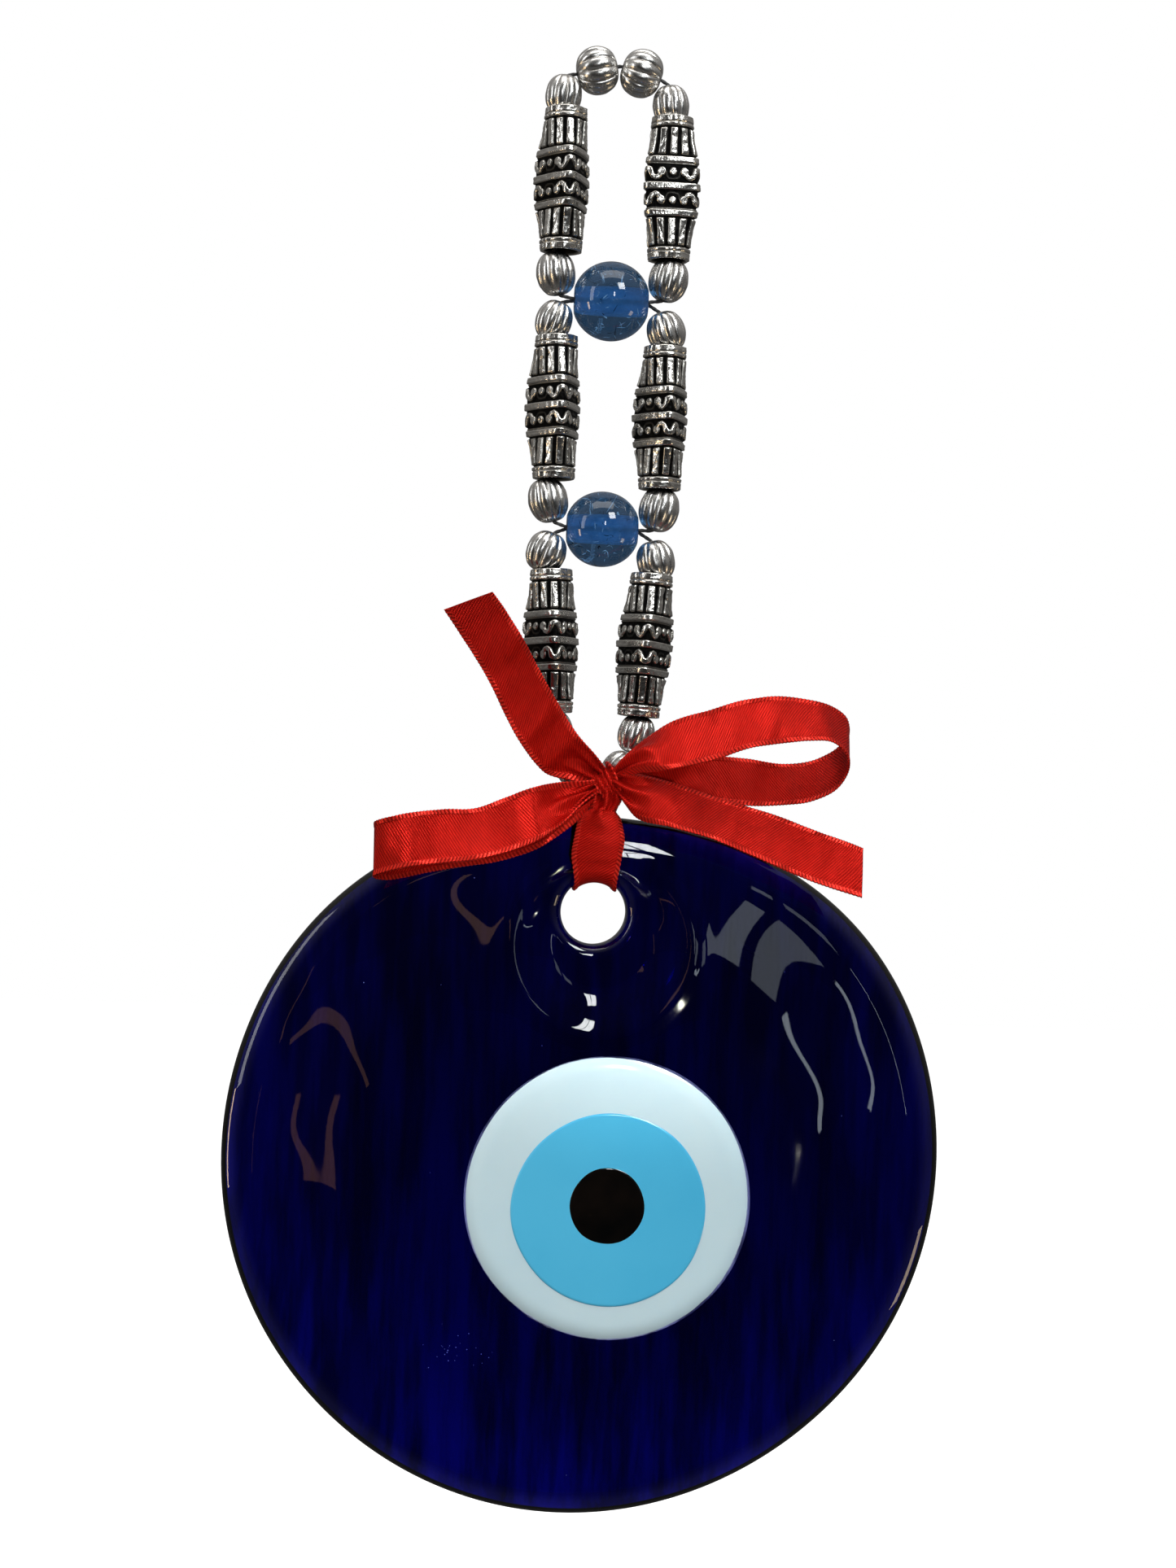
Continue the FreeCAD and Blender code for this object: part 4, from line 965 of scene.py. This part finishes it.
def rumple(P, d, near, side, seed):
    """Soft waves along the ribbon, dying away into the knot."""
    g = np.random.RandomState(seed)
    q = np.linspace(-1, 1, P.shape[1])[None, :]
    x = d[:, None]
    a = g.rand(4) * TWO_PI
    h = (0.48 * np.sin(TWO_PI * (x + 1.6 * q) / 13.5 + a[0]) + 0.22 * np.sin(TWO_PI * (x - 1.2 * q) / 7.9 + a[1])
         + 0.16 * q * np.sin(TWO_PI * x / 9.7 + a[2]) + 0.05 * np.sin(TWO_PI * (x + 3 * q) / 4.6 + a[3]))
    free = smooth01(np.minimum(d, d[-1] - d) / 9.0)[:, None] * (1 - near)[:, None]
    return P + V(0, side, 0) * (h * free)[..., None]


def ribbon_piece(node, st, body, side, pleat_ends, seed=0):
    T, B = station_edges(st)
    step = 0.165
    (T, B), length = resample(T, B, step)
    n = len(T)
    d = np.linspace(0, length, n)
    near = np.zeros(n)
    if "start" in pleat_ends:
        near = np.maximum(near, 1 - smooth01(d / 11.0))
    if "end" in pleat_ends:
        near = np.maximum(near, 1 - smooth01((length - d) / 11.0))
    P, w = fold_rows(T, B, near, side)
    P = rumple(P, d, near, side, seed)
    v, f, uv, at, L = sheet_mesh(P, w)
    ob = make(node + "_satin", v, f, [SATIN], body, (node,), at, uv)
    print(node, "ribbon length mm", round(L, 1), "tris", 2 * len(f))
    return ob


def hole_piece():
    """Down from the knot over the face of the disc, through the hole against its upper wall, and up behind."""
    cx, cz = HOLE_C
    half = 4.65
    L, R, arch = [], [], []
    # in the knot, then the front leg
    for lx, lz, rx, rz, y in ((-0.2, -134.3, 3.7, -134.8, -4.6), (-0.75, -136.2, 4.6, -136.5, -4.9)):
        L.append((lx, y, lz)); R.append((rx, y, rz)); arch.append((0, 0, 0))
    for lx, lz, rx, rz, y in HOLE_LEG[1:4]:
        L.append((lx, y, lz)); R.append((rx, y, rz)); arch.append((0, 0, 0))
    for y, rho, mix in RING_IN_HOLE:
        hw = half - 0.75 * mix
        za = cz + rho * (1 - mix) + mix * math.sqrt(rho ** 2 - hw ** 2)
        L.append((cx - hw, y, za)); R.append((cx + hw, y, za)); arch.append((mix, rho, hw))
    for lx, lz, rx, rz, y in HOLE_LEG[1:4][::-1]:
        L.append((lx, -y, lz)); R.append((rx, -y, rz)); arch.append((0, 0, 0))
    for lx, lz, rx, rz, y in ((0.5, -137.0, 2.9, -137.1, 3.4), (0.5, -136.2, 2.9, -136.3, 1.2)):
        L.append((lx, y, lz)); R.append((rx, y, rz)); arch.append((0, 0, 0))
    L, R, arch = map(np.array, (L, R, arch))
    (L, R, A), length = resample(L, R, 0.165, arch)

    def bow(q, T, B):
        hw = np.clip(A[:, 2:3], 0.5, half)
        x = (2 * q - 1)[None, :] * hw
        rho = np.maximum(A[:, 1:2], hw + 0.2)
        rise = np.sqrt(rho ** 2 - x ** 2) - np.sqrt(rho ** 2 - hw ** 2)
        out = np.zeros((len(T), len(q), 3))
        out[..., 2] = rise * A[:, 0:1]
        return out

    n = len(L)
    d = np.linspace(0, length, n)
    near = np.maximum(1 - smooth01(d / 9.0), 1 - smooth01((length - d) / 9.0))
    P, w = fold_rows(L, R, near, -1, bow, 1 - near)
    v, f, uv, at, LL = sheet_mesh(P, w)
    ob = make("ribbon_hole_loop_satin", v, f, [SATIN], None, ("ribbon_hole_loop",), at, uv)
    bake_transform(ob)
    print("ribbon_hole_loop ribbon length mm", round(LL, 1))


def knot_piece():
    """The drawn-tight turn of ribbon that makes the knot, crumpled across itself, round a soft core."""
    cx, cz = KNOT
    g = 96
    # core: a lump of pleats running along the turn
    th = np.linspace(0, TWO_PI, g, endpoint=False)
    ph = np.linspace(0.06, math.pi - 0.06, g // 2)
    a = math.radians(-61)
    dvec, wvec = V(math.cos(a), 0, math.sin(a)), V(-math.sin(a), 0, math.cos(a))
    uu = np.cos(ph)[:, None] + 0 * th
    ring = np.sin(ph)[:, None]
    r = 1 + 0.045 * np.cos(uu * 15 + 0.8 * np.cos(th)[None, :]) + 0.03 * wave_noise(uu * 3, np.cos(th)[None, :] * 3, np.sin(th)[None, :] * 3, 3.0, 11)
    P = (V(cx, KNOT_Y, cz) + (2.55 * uu)[..., None] * wvec + (3.25 * ring * np.cos(th) * r)[..., None] * dvec
         + (3.05 * ring * np.sin(th) * r)[..., None] * V(0, 1, 0))
    n, m = P.shape[:2]
    v = np.concatenate([P.reshape(-1, 3), P[0].mean(0)[None], P[-1].mean(0)[None]], 0)
    f = grid_faces(n, m, False, True).tolist()
    for j in range(m):
        f.append([n * m, j, (j + 1) % m][::-1])
        f.append([n * m + 1, (n - 1) * m + (j + 1) % m, (n - 1) * m + j][::-1])
    uv = np.stack([(th[None, :] * 3.2 + 0 * uu), 5 + 2.5 * uu + 0 * th], -1).reshape(-1, 2)
    uv = np.concatenate([uv, uv[:1], uv[-1:]], 0)
    nv = len(v)
    core = make("ribbon_knot_core", v, f, [SATIN], "hanger_bottom", (), {"selvedge": np.zeros(nv), "rib": np.zeros(nv)}, uv)
    # band: one turn of ribbon round the core, gathered to half its width
    t = np.linspace(0, TWO_PI * 0.97, 40)
    ex, ey = 3.75, 3.45
    mid = V(cx, KNOT_Y, cz) + (ex * np.cos(t + 0.6))[:, None] * dvec + (ey * np.sin(t + 0.6))[:, None] * V(0, 1, 0)
    hw = 1.95 + 0.25 * np.sin(t * 2 + 1)
    T, B = mid - hw[:, None] * wvec, mid + hw[:, None] * wvec
    (T, B), length = resample(T, B, 0.16)
    P, w = fold_rows(T, B, np.full(len(T), 0.85), 1)
    # keep the gathered folds shallow: the cloth beneath takes the rest
    flatq = T[:, None, :] + (B - T)[:, None, :] * (w / RIBBON_W)[None, :, None]
    P = flatq + (P - flatq) * 0.62
    v, f, uv, at, L = sheet_mesh(P, w)
    ob = make("ribbon_knot_turn", v, f, [SATIN], "hanger_bottom", ("ribbon_knot",), at, uv)
    seg = np.linalg.norm(np.diff(P, axis=1), axis=2).sum(1).mean()
    print("ribbon_knot turn length mm", round(L, 1), "cloth across mm", round(float(seg), 2))


def build_ribbons():
    ribbon_piece("ribbon_tail_left", RIBBON_TAIL_LEFT, "hanger_bottom", 1, ("start",), 3)
    o = ribbon_piece("ribbon_tail_right", RIBBON_TAIL_RIGHT, None, 1, ("start",), 5)
    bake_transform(o)
    o = ribbon_piece("ribbon_loop_left", RIBBON_LOOP_LEFT, None, 1, ("start", "end"), 8)
    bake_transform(o)
    ribbon_piece("ribbon_loop_right", RIBBON_LOOP_RIGHT, "hanger_bottom", 1, ("start", "end"), 12)
    hole_piece()
    knot_piece()


# ------------------------------------------------------------------ glass

def outline_r(t):
    r = OUTLINE[0] + 0 * t
    for h in range(1, 7):
        r = r + OUTLINE[2 * h - 1] * np.cos(h * t) + OUTLINE[2 * h] * np.sin(h * t)
    return r


def build_disc():
    na = 420
    th = np.linspace(0, TWO_PI, na, endpoint=False)
    e = np.stack([np.cos(th), np.sin(th)], -1)
    Rt = outline_r(th)
    dc, hc = np.array(DISC_C), np.array(HOLE_C)
    FRONT_IN, BACK_IN = 7.0, 4.6
    rows = []          # each: (x,z) array, y array

    def under(x, z):
        """How far the poured front surface stands back from its flat level."""
        d = np.hypot(x - DISH_C[0], z - DISH_C[1]) / DISH_R
        dish = DISH_DEPTH * np.where(d < 1.12, (1 - smooth01((d - 0.52) / 0.60)) ** 1.0, 0)
        lip = -0.16 * np.exp(-((d - 1.13) / 0.11) ** 2)
        eye = 0.55 * (1 - smooth01((np.hypot(x - WHITE_C[0], z - WHITE_C[1]) - 24.2) / 2.2))
        rim = Rt - np.hypot(x - dc[0], z - dc[1])
        wave = 0.10 * wave_noise(x, z, 0 * x, 46, 3, 7) + 0.03 * wave_noise(x, z, 0 * x, 19, 8, 7)
        wave = wave + 1.15 * (1 - smooth01((rim - FRONT_IN) / 24.0)) ** 1.3
        return dish, lip, eye, wave

    n_in = 96
    wts = np.linspace(0, 1, n_in)
    wts = 0.5 * (wts + wts ** 1.5)
    A = dc + (Rt - FRONT_IN)[:, None] * e
    Bf = hc + (HOLE_R + LIP_R) * e
    # front lip, from the throat out
    for a in np.linspace(0, 90, 9)[:-1]:
        r = HOLE_R + LIP_R * (1 - math.cos(math.radians(a)))
        p = hc + r * e
        dish, lip, eye, wave = under(p[:, 0], p[:, 1])
        rows.append((p, -DISC_T / 2 + dish + lip + LIP_R * (1 - math.sin(math.radians(a)))))
    for w in wts:
        p = Bf * (1 - w) + A * w
        dish, lip, eye, wave = under(p[:, 0], p[:, 1])
        fade = smooth01(w / 0.12)
        rows.append((p, -DISC_T / 2 + dish + lip + eye + wave * fade))
    last_wave = wave
    # rim: an elliptical roll front to widest, then to the back
    y_mid = 0.2
    k = 22
    for a in np.linspace(90, 0, k)[1:]:
        c, s = math.cos(math.radians(a)), math.sin(math.radians(a))
        inset = FRONT_IN * (1 - c ** 0.92) if c > 0 else FRONT_IN
        p = dc + (Rt - inset)[:, None] * e
        rows.append((p, y_mid - (DISC_T / 2 + y_mid) * s + last_wave * s))
    for a in np.linspace(0, 90, k - 4)[1:]:
        c, s = math.cos(math.radians(a)), math.sin(math.radians(a))
        p = dc + (Rt - BACK_IN * (1 - c))[:, None] * e
        rows.append((p, y_mid + (DISC_T / 2 - y_mid) * s + 0 * th))
    Ab = dc + (Rt - BACK_IN)[:, None] * e
    Bb = hc + (HOLE_R + LIP_R) * e
    for w in np.linspace(0, 1, 34)[1:]:
        p = Ab * (1 - w) + Bb * w
        wav = 0.05 * wave_noise(p[:, 0], p[:, 1], 0 * p[:, 0] + 5, 30, 21, 7)
        rows.append((p, DISC_T / 2 - np.abs(wav) * math.sin(math.pi * w)))
    for a in np.linspace(0, 90, 9)[1:]:
        r = HOLE_R + LIP_R * (1 - math.sin(math.radians(a)))
        rows.append((hc + r * e, DISC_T / 2 - LIP_R * (1 - math.cos(math.radians(a))) + 0 * th))
    y_back, y_front = rows[-1][1], rows[0][1]
    for w in np.linspace(0, 1, 7)[1:-1]:
        rows.append((hc + HOLE_R * e, y_back * (1 - w) + y_front * w))
    P = np.array([np.stack([p[:, 0], y, p[:, 1]], -1) for p, y in rows])
    n, m = P.shape[:2]
    make("disc_glass", P.reshape(-1, 3), grid_faces(n, m, True, True, flip=DISC_FLIP), [COBALT], "disc", ("glass_disc",))


def build_bubbles():
    """Tiny seeds caught in the glass just under its face."""
    g = np.random.RandomState(31)
    verts, faces = [], []
    for k in range(46):
        if k < 26:
            x, z = g.normal(-22.5, 3.4), g.normal(-238.0, 2.2)
        else:
            t, q = g.uniform(0, TWO_PI), 58 * math.sqrt(g.uniform(0, 1))
            x, z = DISC_C[0] + q * math.cos(t), DISC_C[1] + q * math.sin(t)
            if math.hypot(x - WHITE_C[0], z - WHITE_C[1]) < 29 or math.hypot(x - HOLE_C[0], z - HOLE_C[1]) < 18:
                continue
        r = g.uniform(0.05, 0.13)
        y = -2.3 + g.uniform(-0.3, 0.5)
        b = len(verts)
        verts += [(x + r, y, z), (x - r, y, z), (x, y + r, z), (x, y - r, z), (x, y, z + r), (x, y, z - r)]
        for i in (0, 1):
            for j in (2, 3):
                for l in (4, 5):
                    odd = (i + j + l) % 2
                    faces.append([b + i, b + j, b + l] if odd else [b + j, b + i, b + l])
    # the seeds glow with the crackle's painted glint
    make("disc_seeds", verts, faces, [FLAKE_PAINTED_GLINT], "disc", (), smooth=False)


def lens_mesh(centre, radius, y_edge, y_face, y_back, wobble, seed, edge=1.3, na=200, nr=46):
    g = np.random.RandomState(seed)
    th = np.linspace(0, TWO_PI, na, endpoint=False)
    rr = radius + 0 * th
    for h, amp in wobble:
        rr = rr + amp * np.cos(h * th - g.rand() * TWO_PI)
    rows = []
    q = np.sin(np.linspace(0.02, 1, nr) * math.pi / 2)
    for k in q:
        d = (1 - k) * radius
        roll = 1 - np.clip(1 - d / edge, 0, 1) ** 2.4
        x, z = centre[0] + rr * k * np.cos(th), centre[1] + rr * k * np.sin(th)
        y = y_edge + (y_face - y_edge) * (0.80 * roll + 0.20 * (1 - k * k)) + 0.02 * wave_noise(x, z, 0 * x, 24, seed, 6)
        rows.append(np.stack([x, y, z], -1))
    rows.append(np.stack([centre[0] + rr * 0.992 * np.cos(th), np.full(na, (y_edge + y_back) / 2), centre[1] + rr * 0.992 * np.sin(th)], -1))
    rows.append(np.stack([centre[0] + rr * 0.97 * np.cos(th), np.full(na, y_back), centre[1] + rr * 0.97 * np.sin(th)], -1))
    P = np.array(rows)
    n, m = P.shape[:2]
    v = np.concatenate([P.reshape(-1, 3), [[centre[0], P[0, :, 1].mean(), centre[1]], [centre[0], y_back, centre[1]]]], 0)
    f = grid_faces(n, m, False, True, flip=True).tolist()
    for j in range(m):
        f.append([n * m, (j + 1) % m, j][::-1])
        f.append([n * m + 1, (n - 1) * m + j, (n - 1) * m + (j + 1) % m][::-1])
    return v, f


def build_eye():
    y = -DISC_T / 2
    v, f = lens_mesh(WHITE_C, WHITE_R, y + 0.25, y - 0.80, y + 1.2, [(2, 0.16), (3, 0.12), (1, 0.2), (5, 0.05)], 4, edge=3.2)
    make("eye_white_poured", v, f, [WHITE], "disc", ("eye_white",))
    v, f = lens_mesh(BLUE_C, BLUE_R, y - 0.74, y - 0.93, y - 0.1, [(2, 0.10), (3, 0.10), (5, 0.05), (8, 0.03)], 9, edge=0.5)
    make("eye_light_blue_poured", v, f, [LIGHT_BLUE], "disc", ("eye_light_blue",))
    v, f = lens_mesh(PUPIL_C, PUPIL_R, y - 0.88, y - 1.05, y - 0.5, [(2, 0.06), (3, 0.05), (6, 0.03)], 14, edge=0.4, na=140, nr=26)
    make("eye_pupil_poured", v, f, [BLACK], "disc", ("eye_pupil",))


# ------------------------------------------------------------------ studio

def studio():
    sc = bpy.context.scene
    sc.view_settings.view_transform = "Standard"
    sc.view_settings.look = "None"
    w = bpy.data.worlds.new("studio")
    sc.world = w
    w.use_nodes = True
    t = w.node_tree
    t.nodes.clear()
    out = t.nodes.new("ShaderNodeOutputWorld")
    tc = t.nodes.new("ShaderNodeTexCoord")
    sep = t.nodes.new("ShaderNodeSeparateXYZ")
    t.links.new(tc.outputs["Generated"], sep.inputs[0])

    def mt(op, a, b=None, clamp=False):
        n = t.nodes.new("ShaderNodeMath")
        n.operation = op
        n.use_clamp = clamp
        for i, x in enumerate([a, b]):
            if x is None:
                continue
            if isinstance(x, (int, float)):
                n.inputs[i].default_value = x
            else:
                t.links.new(x, n.inputs[i])
        return n.outputs[0]

    y, z = sep.outputs[1], sep.outputs[2]
    front = mt("MULTIPLY", mt("SUBTRACT", mt("MULTIPLY", y, -1.0), 0.55), 3.2, True)     # 1 straight ahead of the ornament
    top = mt("MULTIPLY", mt("ADD", z, 0.10), 0.9, True)
    room = mt("ADD", mt("MULTIPLY", top, 0.30), 0.09)
    room = mt("MULTIPLY", room, mt("SUBTRACT", 1.0, mt("MULTIPLY", front, 0.90)))
    dim = t.nodes.new("ShaderNodeBackground")
    dim.inputs["Color"].default_value = (1.0, 0.97, 0.94, 1)
    t.links.new(room, dim.inputs["Strength"])
    white = t.nodes.new("ShaderNodeBackground")
    white.inputs["Color"].default_value = (1, 1, 1, 1)
    white.inputs["Strength"].default_value = 1.0
    lp = t.nodes.new("ShaderNodeLightPath")
    see = mt("ADD", lp.outputs["Is Camera Ray"], lp.outputs["Is Transmission Ray"], True)
    mix = t.nodes.new("ShaderNodeMixShader")
    t.links.new(see, mix.inputs[0])
    t.links.new(dim.outputs[0], mix.inputs[1])
    t.links.new(white.outputs[0], mix.inputs[2])
    t.links.new(mix.outputs[0], out.inputs[0])

    # floor, well below the hanging ornament
    me = bpy.data.meshes.new("floor")
    zf = -0.42
    me.from_pydata([(-3, -3, zf), (3, -3, zf), (3, 3, zf), (-3, 3, zf)], [], [(0, 1, 2, 3)])
    fl = bpy.data.objects.new("floor", me)
    sc.collection.objects.link(fl)
    m = Mat("pale_floor")
    m.set(Base_Color=(0.86, 0.86, 0.86, 1), Roughness=0.9)
    m.p.inputs["Emission Color"].default_value = (1, 1, 1, 1)
    m.p.inputs["Emission Strength"].default_value = 0.9
    me.materials.append(m.m)
    fl.visible_glossy = False
    fl.visible_diffuse = False

    aim = Vector((0, 0, -0.15))

    def soft(name, az, el, dist, w_, h_, power, col=(1, 1, 1), target=aim):
        d = bpy.data.lights.new(name, "AREA")
        d.shape = "RECTANGLE"
        d.size, d.size_y = w_, h_
        d.energy = power
        d.color = col
        o = bpy.data.objects.new(name, d)
        sc.collection.objects.link(o)
        a, e = math.radians(az), math.radians(el)
        o.location = target + dist * Vector((math.sin(a) * math.cos(e), -math.cos(a) * math.cos(e), math.sin(e)))
        o.rotation_mode = "QUATERNION"
        o.rotation_quaternion = (target - o.location).to_track_quat("-Z", "Y")
        return o

    for args in LIGHTS:
        soft(*args)
    soft("front_fill", -20, -5, 1.3, 0.5, 0.5, 2.8, (0.97, 0.99, 1.0)).visible_glossy = False
    for name, x, y_, z, w_, h_, roll, power, col in CARDS:
        d = bpy.data.lights.new(name, "AREA")
        d.shape = "RECTANGLE"
        d.size, d.size_y, d.energy, d.color = w_, h_, power, col
        o = bpy.data.objects.new(name, d)
        sc.collection.objects.link(o)
        o.location = (x, y_, z)
        o.rotation_euler = (math.radians(90), math.radians(roll), 0)

    # a soft beam on the bow alone, kept out of the glass's mirror
    d = bpy.data.lights.new("bow_beam", "SPOT")
    d.energy, d.color, d.shadow_soft_size = 360.0, (1.0, 0.98, 0.95), 0.05
    d.spot_size, d.spot_blend = math.radians(2.25), 1.0
    o = bpy.data.objects.new("bow_beam", d)
    sc.collection.objects.link(o)
    at = Vector((12.0, -6.0, -140.5)) * MM
    a, e = math.radians(12), math.radians(-8)
    o.location = at + 1.2 * Vector((math.sin(a) * math.cos(e), -math.cos(a) * math.cos(e), math.sin(e)))
    o.rotation_mode = "QUATERNION"
    o.rotation_quaternion = (at - o.location).to_track_quat("-Z", "Y")
    o.visible_glossy = False

    # camera: a little to the left of straight on, leaning as the picture does
    aimc = Vector((-1.38, 0, -133.70)) * MM
    az, el, lean = math.radians(CAM[0]), math.radians(CAM[1]), math.radians(1.9)
    dist = CAM[2]
    back = Vector((math.sin(az) * math.cos(el), -math.cos(az) * math.cos(el), math.sin(el)))
    cam = bpy.data.cameras.new("camera")
    cam.sensor_width = 36
    cam.lens = 18 / (0.5 * CAM[3] / dist)
    cam.clip_start, cam.clip_end = 0.01, 20
    co = bpy.data.objects.new("camera", cam)
    sc.collection.objects.link(co)
    f = -back
    up0 = Vector((-math.sin(lean), 0, math.cos(lean)))
    right = f.cross(up0).normalized()
    up = right.cross(f)
    rot = Matrix((right, up, back)).transposed()
    co.rotation_mode = "QUATERNION"
    co.rotation_quaternion = rot.to_quaternion()
    co.location = aimc + back * dist
    sc.camera = co


DISC_FLIP = False
CAM = (-3.2, -0.3, 0.50, 0.2915)
CARDS = [
    # name, x, y, z, width, height, roll, watts, colour: metres
    ("pane_a", 0.235, -1.2, -0.085, 0.055, 0.085, 24, 0.021, (0.80, 0.90, 1.0)),
    ("pane_b", 0.315, -1.2, -0.125, 0.060, 0.095, 24, 0.021, (0.80, 0.90, 1.0)),
    ("strip", 0.372, -1.2, -0.250, 0.014, 0.125, -28, 0.020, (0.80, 0.90, 1.0)),
    ("wood_a", -0.10, -1.2, -0.080, 0.016, 0.16, -58, 0.006, (1.0, 0.55, 0.30)),
    ("wood_b", -0.225, -1.2, -0.200, 0.013, 0.20, -35, 0.005, (1.0, 0.50, 0.25)),
    ("wood_c", -0.275, -1.2, -0.345, 0.012, 0.12, 12, 0.003, (1.0, 0.45, 0.22)),
]
LIGHTS = [
    # name, azimuth, elevation, distance, width, height, watts, colour
    ("window_low_a", 4.7, 16, 1.25, 0.042, 0.26, 0.62, (0.95, 0.98, 1.0)),
    ("window_low_b", 6.9, 16, 1.25, 0.042, 0.26, 0.62, (0.95, 0.98, 1.0)),
    ("window_key", 30, 40, 1.25, 0.36, 0.40, 8.2, (0.95, 0.98, 1.0)),
    ("window_left", -62, 18, 1.3, 0.26, 0.80, 2.2, (0.96, 0.98, 1.0)),
    ("overhead", 0, 78, 1.1, 0.9, 0.5, 3.6, (1.0, 0.98, 0.95)),
    ("lamp_warm", -75, -8, 1.0, 0.10, 0.30, 1.0, (1.0, 0.72, 0.42)),
    ("lamp_warm_right", 70, -25, 1.0, 0.20, 0.20, 0.6, (1.0, 0.78, 0.50)),
]

build_beads()
build_threads()
build_ribbons()
build_disc()
build_bubbles()
build_eye()
studio()
